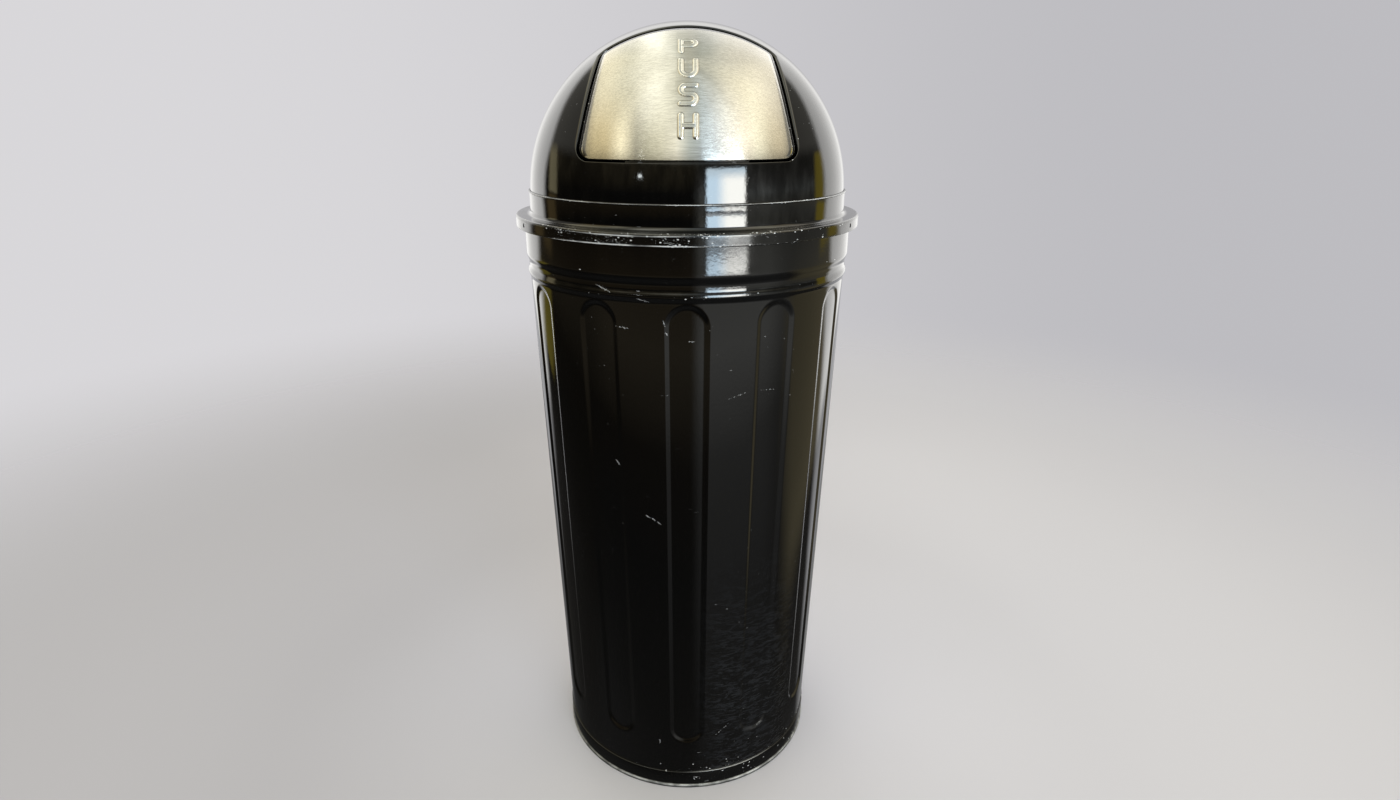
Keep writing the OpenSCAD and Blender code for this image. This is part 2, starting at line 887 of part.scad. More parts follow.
// Ring i as [point, outward direction], with a straight leg before and after the coil
function spring_ring(i) =
    i < 0 ? [coil_point(0) - leg_back * coil_tangent(0), coil_angle(0)]
    : i > coil_rings ? [coil_point(coil_rings) + leg_door * coil_tangent(coil_rings), coil_angle(coil_rings)]
    : [coil_point(i), coil_angle(i)];

function ring_points(i, side) =
    let (s = spring_ring(i))
    [for (k = [0 : wire_sides - 1])
        let (b = 360 * k / wire_sides, n = spring_wire_r * cos(b), m = spring_wire_r * sin(b))
        [side * (s[0][0] + m), s[0][1] + n * cos(s[1]), s[0][2] + n * sin(s[1])]];

echo(least_gap_between_turns = spring_pitch - 2 * spring_wire_r);

// One torsion spring as an unbroken tube; side is 1 on the right and -1 on the left
module torsion_spring(side) {
    rings = coil_rings + 3;
    points = [for (i = [-1 : coil_rings + 1]) each ring_points(i, side)];
    walls = [for (i = [0 : rings - 2]) for (k = [0 : wire_sides - 1])
        let (a = i * wire_sides + k, b = i * wire_sides + (k + 1) % wire_sides,
             c = a + wire_sides, d = b + wire_sides)
        each [[a, b, d], [a, d, c]]];
    first = [for (k = [1 : wire_sides - 2]) [0, k + 1, k]];
    last = [for (k = [1 : wire_sides - 2])
        let (o = (rings - 1) * wire_sides) [o, o + k, o + k + 1]];
    faces = concat(walls, first, last);
    flipped = [for (f = faces) [f[0], f[2], f[1]]];
    start = side * (bracket_x - plate_t / 2 - spring_side_gap - spring_wire_r);
    color(plated)
        translate([start, hinge_y, hinge_z])
            polyhedron(points = points, faces = side > 0 ? faces : flipped);
}

module door_spring_left() {
    torsion_spring(-1);
}

module door_spring_right() {
    torsion_spring(1);
}

body_shell();
rim_wire();
bottom_pan();
base_hoop();
floor_guard();
liner_wall();
liner_bottom();
liner_rim_wire();
liner_ear_left();
liner_ear_right();
liner_rivets();
liner_handle_left();
liner_handle_right();
lid_dome();
lid_collar();
hinge_bracket_left();
hinge_bracket_right();
hinge_rod();
rod_clips();
door_panel();
door_face();
hinge_lug_left();
hinge_lug_right();
door_stop();
door_bumpers();
door_spring_left();
door_spring_right();
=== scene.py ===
# %% [markdown]
# # A dome top waste receptacle
# The bin is thin enamelled sheet steel: a fluted, tapered wall with a rolled rim, a spun dome that lifts off on
# its collar, and a sprung door with a brushed stainless face. A zinc coated liner with two drop handles stands
# inside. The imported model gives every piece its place. Here the sheet metal is made again as smooth numpy
# surfaces with rolled edges, and the small hardware keeps its CAD mesh and gets a finish.

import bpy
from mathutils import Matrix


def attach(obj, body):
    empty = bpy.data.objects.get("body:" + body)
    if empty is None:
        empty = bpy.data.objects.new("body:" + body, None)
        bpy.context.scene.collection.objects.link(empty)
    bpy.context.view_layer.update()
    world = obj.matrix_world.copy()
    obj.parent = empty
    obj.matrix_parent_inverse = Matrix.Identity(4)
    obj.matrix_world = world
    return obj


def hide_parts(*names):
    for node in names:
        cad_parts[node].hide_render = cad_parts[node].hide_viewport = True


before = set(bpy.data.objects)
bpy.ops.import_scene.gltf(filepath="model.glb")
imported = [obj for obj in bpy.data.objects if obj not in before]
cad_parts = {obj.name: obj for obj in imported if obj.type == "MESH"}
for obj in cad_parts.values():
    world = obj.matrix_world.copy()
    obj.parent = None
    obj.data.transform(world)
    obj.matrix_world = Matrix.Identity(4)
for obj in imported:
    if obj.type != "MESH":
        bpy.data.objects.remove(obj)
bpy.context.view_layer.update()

# %% Tools for shapes
import math

import bpy
import numpy as np

MM = 0.001  # this file's lengths are millimetres, and Blender's are metres
FAR = 99.0  # a distance that is surely outside
print("nodes from the model", len(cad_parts))

# %% [markdown]
# ## How a sheet metal piece becomes a mesh
# Every piece below is a grid of points, worked out as whole arrays: a profile turned about the bin's axis, or a
# family of curves on the dome's sphere. One helper numbers the grid's faces, and one puts them into a mesh. It
# measures the enclosed volume, and turns the faces round if that comes out negative, so they point outwards.

# %% Grids of faces
def grid_faces(rows, cols, rows_close=False, cols_close=True):
    """Corner numbers of a grid's quads: each joins a point, the next in its row, and the two in the next row."""
    a = np.arange(rows if rows_close else rows - 1)
    b = np.arange(cols if cols_close else cols - 1)
    a, b = (part.ravel() for part in np.meshgrid(a, b, indexing="ij"))
    a2, b2 = (a + 1) % rows, (b + 1) % cols
    return np.stack([a * cols + b, a * cols + b2, a2 * cols + b2, a2 * cols + b], -1)


def fan_faces(centre, ring):
    """Triangles from one centre point to each pair of neighbours in a closed ring."""
    return np.stack([np.full(len(ring), centre), ring, np.roll(ring, -1)], -1)


def end_fans(rows, cols):
    """Two fans that close a grid's first and last rows, round the two points that come after the grid's own."""
    ring, centre = np.arange(cols), rows * cols
    return np.concatenate([fan_faces(centre, ring[::-1]), fan_faces(centre + 1, (rows - 1) * cols + ring)])


print("a 3 by 4 grid has", len(grid_faces(3, 4)), "quads")


# %% Put points and faces into a mesh
def enclosed(points, triangles):
    """Volume inside closed triangles: a sixth of the sum of each one's triple product of corners."""
    a, b, c = (points[triangles[:, k]] for k in range(3))
    return float(np.einsum("ij,ij->i", a, np.cross(b, c)).sum() / 6)


def make_piece(name, body, points, quads, triangles=None, finish=None, slot=None, stands_for=(), sharp=32.0,
               **attributes):
    """A named object on its body, from points in millimetres, quads and triangles."""
    points = np.asarray(points, float).reshape(-1, 3)
    quads = np.asarray(quads, int).reshape(-1, 4)
    triangles = np.zeros((0, 3), int) if triangles is None else np.asarray(triangles, int).reshape(-1, 3)
    halves = np.concatenate([quads[:, [0, 1, 2]], quads[:, [0, 2, 3]], triangles])
    volume = enclosed(points, halves)
    if volume < 0:
        quads, triangles = quads[:, ::-1], triangles[:, ::-1]
    corners = np.concatenate([quads.ravel(), triangles.ravel()]).astype(np.int32)
    starts = np.concatenate([np.arange(len(quads)) * 4, len(quads) * 4 + np.arange(len(triangles)) * 3])
    mesh = bpy.data.meshes.new(name)
    mesh.vertices.add(len(points))
    mesh.vertices.foreach_set("co", (points * MM).astype(np.float32).ravel())
    mesh.loops.add(len(corners))
    mesh.loops.foreach_set("vertex_index", corners)
    mesh.polygons.add(len(starts))
    mesh.polygons.foreach_set("loop_start", starts.astype(np.int32))
    mesh.update(calc_edges=True)
    mesh.validate()
    mesh.shade_smooth()
    mesh.set_sharp_from_angle(angle=math.radians(sharp))
    for key, values in attributes.items():
        layer = mesh.attributes.new(key, "FLOAT", "POINT")
        layer.data.foreach_set("value", np.asarray(values, np.float32).ravel())
    piece = bpy.data.objects.new(name, mesh)
    bpy.context.scene.collection.objects.link(piece)
    if finish is not None:
        mesh.materials.append(finish)
    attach(piece, body)
    if stands_for:
        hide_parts(*stands_for)
    print(f"{name}: {2 * len(quads) + len(triangles)} triangles, {abs(volume) / 1000:.1f} cm3")
    return piece


unit_corner = np.array([[0, 0, 0], [1, 0, 0], [0, 1, 0], [0, 0, 1]])
print("a corner cut off a unit cube encloses", round(enclosed(unit_corner, np.array(
    [[0, 2, 1], [0, 1, 3], [0, 3, 2], [1, 2, 3]])), 3))


# %% Smooth steps, bumps and lines
def ease(t):
    """Smooth step from 0 to 1: 3t^2 - 2t^3, held flat outside."""
    t = np.clip(t, 0, 1)
    return t * t * (3 - 2 * t)


def bump(distance, half_width):
    """A raised cosine, 1 at distance 0 and 0 from the half width on."""
    return np.where(np.abs(distance) < half_width, (1 + np.cos(np.pi * distance / half_width)) / 2, 0)


def about_axis(r, degrees, z):
    """Points at radius r and height z, turned from the front about the bin's axis: x = r sin a, y = -r cos a."""
    a = np.radians(degrees)
    return np.stack(np.broadcast_arrays(r * np.sin(a), -r * np.cos(a), z), -1)


def arc(cx, cy, r, start, end, count):
    """Points of a circle's arc: the centre plus r times cosine and sine of angles in degrees."""
    angle = np.radians(np.linspace(start, end, count))
    return np.stack([cx + r * np.cos(angle), cy + r * np.sin(angle)], -1)


def soften(corners, cuts, steps=5):
    """Rounds a closed outline. Each corner B gives way to (1-t)^2 A + 2t(1-t) B + t^2 C, with A and C a cut away."""
    corners = np.asarray(corners, float)
    cuts = np.broadcast_to(np.asarray(cuts, float), len(corners))
    before, after = np.roll(corners, 1, 0) - corners, np.roll(corners, -1, 0) - corners
    a = corners + before / np.linalg.norm(before, axis=1, keepdims=True) * cuts[:, None]
    c = corners + after / np.linalg.norm(after, axis=1, keepdims=True) * cuts[:, None]
    t = np.linspace(0, 1, steps)[None, :, None]
    return ((1 - t) ** 2 * a[:, None] + 2 * t * (1 - t) * corners[:, None] + t * t * c[:, None]).reshape(-1, 2)


print("a quarter circle of 3 points", arc(0, 0, 1, 0, 90, 3).round(2).tolist())

# %% [markdown]
# ## Finishes
# Real gloss enamel isn't one flat black. It has a faint orange peel, smears, dust, pale scratches down to the
# primer and scuffs where edges are knocked. Effects that several finishes share are node groups that give out only
# masks and heights, and each material puts them into its own Principled shader.

# %% Short ways to add nodes
def add(tree, kind, inputs=None, **settings):
    """Adds one shader node. An input is a number, a colour or another node's socket."""
    made = tree.nodes.new("ShaderNode" + kind)
    for key, value in settings.items():
        setattr(made, key, value)
    for key, value in (inputs or {}).items():
        if isinstance(value, bpy.types.NodeSocket):
            tree.links.new(value, made.inputs[key])
        else:
            made.inputs[key].default_value = value
    return made


def calc(tree, operation, a, b=0.0, c=0.0, clamp=False):
    """The result of one Math node."""
    made = add(tree, "Math", {0: a, 1: b, 2: c}, operation=operation, use_clamp=clamp)
    return made.outputs[0]


def times(tree, first, *others):
    """The product of all the values, one Math node for each after the first."""
    for other in others:
        first = calc(tree, "MULTIPLY", first, other)
    return first


def highest(tree, first, *others):
    """The largest of all the values, in the same way."""
    for other in others:
        first = calc(tree, "MAXIMUM", first, other)
    return first


def add_up(tree, start, *parts):
    """A starting value plus each part: a value times its amount."""
    for value, amount in parts:
        start = calc(tree, "MULTIPLY_ADD", value, amount, start)
    return start


def vector(tree, operation, a, b=(0, 0, 0), **more):
    """The result of one Vector Math node: a number for a dot product, a distance or a length, or else a vector."""
    made = add(tree, "VectorMath", {0: a, 1: b} | more, operation=operation)
    return made.outputs["Value" if operation in ("DOT_PRODUCT", "DISTANCE", "LENGTH") else "Vector"]


print("node helpers ready")


# %% Short ways to remap, mix and place
def remap(tree, value, low, high, to_low=0.0, to_high=1.0, smooth=True):
    """Takes a value from low..high to another range, clamped, along a smooth step."""
    kind = "SMOOTHSTEP" if smooth else "LINEAR"
    made = add(tree, "MapRange", {"Value": value, "From Min": low, "From Max": high, "To Min": to_low,
                                  "To Max": to_high}, interpolation_type=kind)
    return made.outputs[0]


def mix(tree, mask, a, b):
    """Colour a where the mask is 0 and b where it is 1."""
    made = tree.nodes.new("ShaderNodeMix")
    made.data_type = "RGBA"
    for key, value in ((0, mask), (6, a), (7, b)):
        if isinstance(value, bpy.types.NodeSocket):
            tree.links.new(value, made.inputs[key])
        else:
            made.inputs[key].default_value = value if key == 0 else (*value, 1)
    return made.outputs[2]


def coats(tree, colour, *layers):
    """Lays colours over one another: each layer is a mask, how much of it counts, and its colour."""
    for mask, share, over in layers:
        colour = mix(tree, mask if share == 1 else times(tree, mask, share), colour, over)
    return colour


def noise(tree, place, scale, detail=3.0, roughness=0.55, distortion=0.0):
    """The height of a noise texture."""
    made = add(tree, "TexNoise", {"Vector": place, "Scale": scale, "Detail": detail, "Roughness": roughness,
                                  "Distortion": distortion})
    return made.outputs["Fac"]


def turned(tree, place, turn=(0, 0, 0), scale=(1, 1, 1), shift=(0, 0, 0)):
    """Coordinates that are turned, by degrees, and scaled."""
    made = add(tree, "Mapping", {"Vector": place, "Rotation": tuple(math.radians(d) for d in turn),
                                 "Scale": scale, "Location": shift})
    return made.outputs[0]


def carried(tree, name):
    """A value that the piece carries on its points."""
    return add(tree, "Attribute", attribute_name=name).outputs["Fac"]


print("colour and place helpers ready")


# %% A node group with named inputs and outputs
def new_group(name, inputs, outputs):
    """An empty group: inputs and outputs are lists of (name, kind, starting value)."""
    tree = bpy.data.node_groups.new(name, "ShaderNodeTree")
    for label, kind, start in inputs:
        socket = tree.interface.new_socket(name=label, in_out="INPUT", socket_type="NodeSocket" + kind)
        if start is not None:
            socket.default_value = start
    for label in outputs:
        tree.interface.new_socket(name=label, in_out="OUTPUT", socket_type="NodeSocketFloat")
    return tree, tree.nodes.new("NodeGroupInput").outputs, tree.nodes.new("NodeGroupOutput")


def give(tree, out, **values):
    """Joins results to the group's outputs, by name."""
    for label, value in values.items():
        tree.links.new(value, out.inputs[label.replace("_", " ")])


def use(tree, group, inputs):
    """Places a group in a material and returns its outputs."""
    return add(tree, "Group", inputs, node_tree=group).outputs


print("group helpers ready")

# %% [markdown]
# ### Hairline scratches
# A scratch is a long thin streak that starts and stops. Noise that is stretched along one direction gives streaks,
# a high threshold leaves only their crests, and a broad noise breaks them into a few places. Three directions are
# enough for the eye to see wear and not a pattern.

# %% Scratch group
scratches, given, out = new_group("scratches", [("Place", "Vector", None), ("Density", "Float", 0.5),
                                                ("Fineness", "Float", 300.0)], ["Mask"])
tree = scratches
THIN = 0.05  # how much a streak's own direction is squeezed, which draws the noise out twenty times
streaks = []
for turn, shift in (((0, 58, 20), 0.3), ((0, -24, -35), 4.1), ((0, 84, 5), 9.7)):
    lane = turned(tree, given["Place"], turn, (THIN, 1, 1), (shift, shift, shift))
    line = noise(tree, lane, given["Fineness"], 1.0)
    area = noise(tree, turned(tree, given["Place"], shift=(shift, 0, shift)), 9.0, 1.0)
    limit = add_up(tree, 0.86, (given["Density"], -0.22))
    crest = remap(tree, line, limit, calc(tree, "ADD", limit, 0.03))
    streaks.append(times(tree, crest, remap(tree, area, 0.5, 0.62)))
give(tree, out, Mask=highest(tree, *streaks))
print("scratches", len(tree.nodes), "nodes")

# %% [markdown]
# ### Dust and smears
# Dust is many tiny pale specks, gathered in patches. Smears are broad soft changes of gloss left by wiping, so
# they go to the roughness and hardly to the colour.

# %% Dust group and smear group
dust, given, out = new_group("dust", [("Place", "Vector", None), ("Amount", "Float", 0.3)], ["Mask"])
tree = dust
cells = add(tree, "TexVoronoi", {"Vector": given["Place"], "Scale": 420.0}, feature="F1")
specks = remap(tree, cells.outputs["Distance"], 0.16, 0.06)
lone = remap(tree, noise(tree, given["Place"], 260.0, 2.0), 0.6, 0.68)
patch = remap(tree, noise(tree, given["Place"], 14.0, 3.0), 0.42, 0.75)
give(tree, out, Mask=calc(tree, "MULTIPLY", times(tree, specks, lone, patch), given["Amount"], clamp=True))

smears, given, out = new_group("smears", [("Place", "Vector", None), ("Size", "Float", 8.0)], ["Mask", "Height"])
tree = smears
wiped = noise(tree, turned(tree, given["Place"], (0, 18, 0), (1.6, 1.6, 0.8)), given["Size"], 4.0, 0.6, 0.8)
ripple = noise(tree, turned(tree, given["Place"], (0, -38, 0), (1, 1, 4)), times(tree, given["Size"], 9.0), 2.0,
               0.5, 1.5)
give(tree, out, Mask=remap(tree, wiped, 0.35, 0.7), Height=ripple)
print("dust", len(dust.nodes), "smears", len(smears.nodes))

# %% [markdown]
# ### Worn edges and their painted highlights
# Paint goes first where the bin is knocked or gripped: the flange's edge, the bead, the rim and the hoop. Each
# piece carries a wear value on its points, from where its edges are, and this group breaks it up with noise and
# with short dashes: Voronoi cells a little wider than high, of which some are picked by their random tone. A value
# near 1 is an edge that is rubbed bare nearly all along, and that pale line also serves as the edge's painted
# highlight.

# %% Edge wear and painted highlight group
edge_wear, given, out = new_group("edge_wear", [("Place", "Vector", None), ("Amount", "Float", 0.5),
                                                ("Grain", "Float", 160.0)], ["Mask"])
tree = edge_wear
worn_and_highlight = carried(tree, "wear")
chips = noise(tree, turned(tree, given["Place"], scale=(1, 1, 2.2)), given["Grain"], 4.0, 0.7)
patchy = remap(tree, noise(tree, given["Place"], 18.0, 2.0), 0.35, 0.65, 0.25, 1.0)
level = times(tree, worn_and_highlight, patchy, given["Amount"])
limit = calc(tree, "SUBTRACT", 0.74, times(tree, level, 0.26))
chipped = times(tree, remap(tree, chips, limit, calc(tree, "ADD", limit, 0.04)), remap(tree, worn_and_highlight, 0.02, 0.2))
cells = add(tree, "TexVoronoi", {"Vector": turned(tree, given["Place"], (0, 12, 0), (0.6, 0.6, 1)), "Scale": 480.0},
            feature="F1")
tone = add(tree, "SeparateColor", {0: cells.outputs["Color"]}).outputs[0]
picked = calc(tree, "GREATER_THAN", tone, add_up(tree, 1.1, (level, -0.7)))
dashes = times(tree, remap(tree, cells.outputs["Distance"], 0.38, 0.24), picked)
# A value near 1 leaves a pale line nearly all along an edge: worn paint and the edge's painted highlight.
bare_and_highlight = times(tree, remap(tree, worn_and_highlight, 0.86, 0.98), remap(tree, patchy, 0.25, 0.8, 0.2, 1.0))
give(tree, out, Mask=highest(tree, times(tree, chipped, 0.6), dashes, bare_and_highlight))
print("edge wear", len(tree.nodes), "nodes")

# %% [markdown]
# ### One scratch at a place
# A few scratches on this bin are plain to see. Each is a segment from A to B: the distance from a point P to it is
# the length of P - A - t(B - A), where t is how far along the nearest point lies, clamped to 0..1. It runs out thin
# at both ends, and noise breaks it up as a real one skips over the paint.

# %% Placed scratch group
placed_scratch, given, out = new_group("placed_scratch", [("Place", "Vector", None), ("A", "Vector", None),
                                       ("B", "Vector", None), ("Width", "Float", 0.0006),
                                       ("Broken", "Float", 1.0)], ["Mask"])
tree = placed_scratch
run = vector(tree, "SUBTRACT", given["B"], given["A"])
rel = vector(tree, "SUBTRACT", given["Place"], given["A"])
along = calc(tree, "DIVIDE", vector(tree, "DOT_PRODUCT", rel, run), vector(tree, "DOT_PRODUCT", run, run), clamp=True)
gap = vector(tree, "DISTANCE", rel, vector(tree, "SCALE", run, Scale=along))
from_middle = calc(tree, "ABSOLUTE", calc(tree, "SUBTRACT", along, 0.5))
thinned = times(tree, gap, remap(tree, from_middle, 0.2, 0.5, 1.0, 2.2), given["Broken"])
give(tree, out, Mask=remap(tree, thinned, given["Width"], 0.0))
print("placed scratch", len(tree.nodes), "nodes")


# %% Start a material
def new_finish(name):
    """A material with a Principled shader, and its object coordinates."""
    finish = bpy.data.materials.new(name)
    finish.use_nodes = True
    tree = finish.node_tree
    tree.nodes.clear()
    shader = tree.nodes.new("ShaderNodeBsdfPrincipled")
    output = tree.nodes.new("ShaderNodeOutputMaterial")
    tree.links.new(shader.outputs[0], output.inputs["Surface"])
    place = tree.nodes.new("ShaderNodeTexCoord").outputs["Object"]
    return finish, tree, shader, place


def join(tree, shader, **values):
    """Sets or links the shader's inputs, by name."""
    for label, value in values.items():
        socket = shader.inputs[label.replace("_", " ")]
        if isinstance(value, bpy.types.NodeSocket):
            tree.links.new(value, socket)
        else:
            socket.default_value = value


def relief(tree, height, distance, strength=1.0):
    """A Bump node's normal, from a height of 0..1 that stands for a distance in metres."""
    return add(tree, "Bump", {"Height": height, "Distance": distance, "Strength": strength}).outputs[0]


print("material helpers ready")

# %% [markdown]
# ### Gloss black enamel
# Stoved enamel over steel: nearly black, very glossy, with a fine orange peel that makes reflections waver. The
# base stays dark, and the marks are paler and duller than the paint round them.

# %% Black enamel
PAINT, PAINT_WARM = (0.0011, 0.0011, 0.0012), (0.0026, 0.0023, 0.0018)
DUST_GREY, LINE_GREY, PRIMER_AND_HIGHLIGHT = (0.2, 0.2, 0.21), (0.34, 0.34, 0.35), (0.62, 0.62, 0.63)
DRIED_FILM = (0.0075, 0.008, 0.0095)


def black_enamel(name, marks=(), wear=0.6, dusty=0.35, density=0.35, grain=240.0, rippled=0.0):
    """Gloss black with orange peel, smears, dust, hairlines, worn edges and placed scratches (from, to, width).
    Its bare edge lines are worn paint and painted highlight. A wall that is rippled also has a dried, wavy
    film low down on its right."""
    finish, tree, shader, place = new_finish(name)
    dusted = use(tree, dust, {"Place": place, "Amount": dusty})["Mask"]
    lines = use(tree, scratches, {"Place": place, "Density": density, "Fineness": 420.0})["Mask"]
    wiped = use(tree, smears, {"Place": place, "Size": 7.0})
    worn_and_highlight = use(tree, edge_wear, {"Place": place, "Amount": wear, "Grain": grain})["Mask"]
    lines = times(tree, lines, 0.45)
    if marks:
        broken = remap(tree, noise(tree, place, 620.0, 3.0, 0.6), 0.35, 0.62, 0.5, 3.0)
    for start, end, width in marks:
        segment = {"A": tuple(v * MM for v in start), "B": tuple(v * MM for v in end), "Width": width * MM}
        one = use(tree, placed_scratch, {"Place": place, "Broken": broken} | segment)["Mask"]
        lines = highest(tree, lines, one)
    # The pale edge colour is worn paint, and along rounded edges also a painted highlight.
    colour = coats(tree, mix(tree, noise(tree, place, 2.2, 2.0), PAINT, PAINT_WARM), (dusted, 0.8, DUST_GREY),
                   (lines, 1, LINE_GREY), (worn_and_highlight, 0.85, PRIMER_AND_HIGHLIGHT))
    marked = highest(tree, dusted, lines, worn_and_highlight)
    gloss = add_up(tree, 0.035, (wiped["Mask"], 0.05), (marked, 0.4), (carried(tree, "wear"), 0.14))
    peel = times(tree, noise(tree, place, 260.0, 2.0), 0.05)
    waver = noise(tree, turned(tree, place, scale=(1, 1, 0.5)), 16.0, 1.0)
    height = add_up(tree, peel, (waver, 0.9))
    if rippled:
        x_y_z = add(tree, "SeparateXYZ", {0: place}).outputs
        low = times(tree, remap(tree, x_y_z["Z"], 0.4, 0.12), remap(tree, x_y_z["X"], 0.0, 0.05),
                    remap(tree, x_y_z["X"], 0.15, 0.12))
        film = times(tree, low, remap(tree, wiped["Height"], 0.46, 0.62))
        height = add_up(tree, height, (times(tree, wiped["Height"], low), rippled))
        colour = mix(tree, film, colour, DRIED_FILM)
        gloss = add_up(tree, gloss, (film, 0.22))
    height = add_up(tree, height, (marked, -0.03))
    join(tree, shader, Base_Color=colour, Roughness=gloss, Normal=relief(tree, height, 0.0006), Metallic=0.0,
         IOR=1.7)
    return finish


enamel_lid = black_enamel("black_enamel_lid", wear=0.7, dusty=0.4, density=0.4, grain=300.0)
print("enamel made")

# %% [markdown]
# ### Brushed stainless steel
# The door's face is brushed from side to side, so fine ridges run level and smear every reflection up and down.
# Noise stretched along X gives the ridges, and the shader's anisotropy, turned a quarter, gives the smear. Fingers
# leave dull patches, and small knocks leave short lines. The pressed letters get a painted highlight along their
# shoulders and a painted shade line at their foot: the face carries both lines as values on its points.

# %% Brushed stainless
STEEL_DARK, STEEL_PALE, WARM_STAIN = (0.56, 0.545, 0.51), (0.76, 0.745, 0.705), (0.68, 0.6, 0.44)
# The crest and foot colours below are a painted highlight and a painted shade for the letters' edges.
BRIGHT_LINE, PAINTED_CREST_HIGHLIGHT, PAINTED_FOOT_SHADE = (0.85, 0.85, 0.84), (0.93, 0.92, 0.88), (0.2, 0.185, 0.15)


def brushed_stainless(name):
    """Stainless steel with a level grain, finger marks, small lines, a warm stain, a lower edge that hands have
    polished, and the word's two edge lines: a painted highlight and a painted shade."""
    finish, tree, shader, place = new_finish(name)
    fine = noise(tree, turned(tree, place, scale=(0.03, 1, 1)), 1300.0, 3.0, 0.65)
    broad = noise(tree, turned(tree, place, scale=(0.1, 1, 1)), 460.0, 3.0)
    wiped = use(tree, smears, {"Place": place, "Size": 12.0})
    lines = use(tree, scratches, {"Place": place, "Density": 0.6, "Fineness": 620.0})["Mask"]
    dusted = use(tree, dust, {"Place": place, "Amount": 0.25})["Mask"]
    grain = add_up(tree, times(tree, fine, 0.75), (broad, 0.25))
    stain = remap(tree, noise(tree, place, 6.5, 2.0), 0.45, 0.75)
    # Over the grain, the letters' shoulders get a painted highlight and their foot a painted shade line.
    tone = coats(tree, mix(tree, remap(tree, grain, 0.35, 0.65), STEEL_DARK, STEEL_PALE), (stain, 0.14, WARM_STAIN),
                 (lines, 0.3, BRIGHT_LINE), (carried(tree, "crest"), 0.9, PAINTED_CREST_HIGHLIGHT),
                 (carried(tree, "foot"), 0.85, PAINTED_FOOT_SHADE))
    how_high = add(tree, "SeparateXYZ", {0: place}).outputs["Z"]
    gloss = add_up(tree, 0.16, (fine, 0.1), (wiped["Mask"], 0.05))
    gloss = add_up(tree, times(tree, gloss, remap(tree, how_high, 0.77, 0.83, 0.62, 1.0)), (dusted, 0.3))
    height = add_up(tree, grain, (lines, -0.4))
    join(tree, shader, Base_Color=tone, Metallic=1.0, Roughness=gloss, Anisotropic=0.95, Anisotropic_Rotation=0.25,
         Normal=relief(tree, height, 0.00002, 0.5))
    level = add(tree, "Tangent", direction_type="RADIAL", axis="Z").outputs[0]
    tree.links.new(level, shader.inputs["Tangent"])
    return finish


stainless = brushed_stainless("brushed_stainless")
print("stainless made")

# %% [markdown]
# ### Zinc coated sheet and plated wire
# Hot dipped zinc freezes into flat crystals, the spangle, each with its own grey. Voronoi cells with a random tone
# per cell are just that. The plated rod, springs, clips and wires are smoother, a little yellow and a little dull.

# %% Galvanised sheet
ZINC_DARK, ZINC_PALE = (0.36, 0.38, 0.39), (0.56, 0.57, 0.57)
ZINC_STAIN, ZINC_LINE = (0.3, 0.3, 0.28), (0.7, 0.7, 0.69)


def galvanised(name):
    """Zinc with spangle, dull stains and scratches."""
    finish, tree, shader, place = new_finish(name)
    bent = noise(tree, place, 30.0, 2.0)
    cells = add(tree, "TexVoronoi", {"Vector": turned(tree, place, (20, 10, 0), (1, 1, 1.2)), "Scale": 75.0},
                feature="F1")
    tone = add(tree, "SeparateColor", {0: cells.outputs["Color"]}).outputs[0]
    lines = use(tree, scratches, {"Place": place, "Density": 0.7, "Fineness": 300.0})["Mask"]
    wiped = use(tree, smears, {"Place": place, "Size": 6.0})["Mask"]
    colour = coats(tree, mix(tree, tone, ZINC_DARK, ZINC_PALE), (wiped, 0.4, ZINC_STAIN), (lines, 0.5, ZINC_LINE))
    gloss = add_up(tree, 0.3, (tone, 0.18), (wiped, 0.15))
    join(tree, shader, Base_Color=colour, Metallic=1.0, Roughness=gloss,
         Normal=relief(tree, calc(tree, "ADD", tone, bent), 0.00008))
    return finish


zinc = galvanised("galvanised")
print("zinc made")

# %% Plated wire and plate
YELLOWISH, DULL_SPOT, BARE_LINE = (0.62, 0.59, 0.52), (0.4, 0.37, 0.31), (0.8, 0.79, 0.76)


def plated(name):
    """Zinc plated steel: pale, faintly yellow, with drawing lines, dull spots and worn high places."""
    finish, tree, shader, place = new_finish(name)
    spots = remap(tree, noise(tree, place, 60.0, 4.0, 0.7), 0.45, 0.7)
    drawn = noise(tree, turned(tree, place, scale=(0.1, 1, 1)), 700.0, 2.0)
    lines = use(tree, scratches, {"Place": place, "Density": 0.8, "Fineness": 600.0})["Mask"]
    colour = coats(tree, YELLOWISH, (spots, 1, DULL_SPOT), (lines, 0.6, BARE_LINE))
    gloss = add_up(tree, 0.2, (drawn, 0.12), (spots, 0.25))
    join(tree, shader, Base_Color=colour, Metallic=1.0, Roughness=gloss,
         Normal=relief(tree, add_up(tree, drawn, (spots, 0.5)), 0.00003))
    return finish


plate = plated("plated_steel")
print("plate made")

# %% [markdown]
# ### Vinyl and rubber
# The floor ring is pressed vinyl, and the door's buttons are moulded rubber. Both are dark and dull, with a fine
# grain. The ring is grey with floor dirt, and its shoulder has a pale line that is rubbed by feet and brooms and is
# also a painted highlight, strongest right of the front.

# %% Vinyl and rubber
FLOOR_DIRT, PALE_DUST, RUBBED_PALE_AND_HIGHLIGHT = (0.13, 0.125, 0.115), (0.28, 0.27, 0.26), (0.6, 0.6, 0.59)


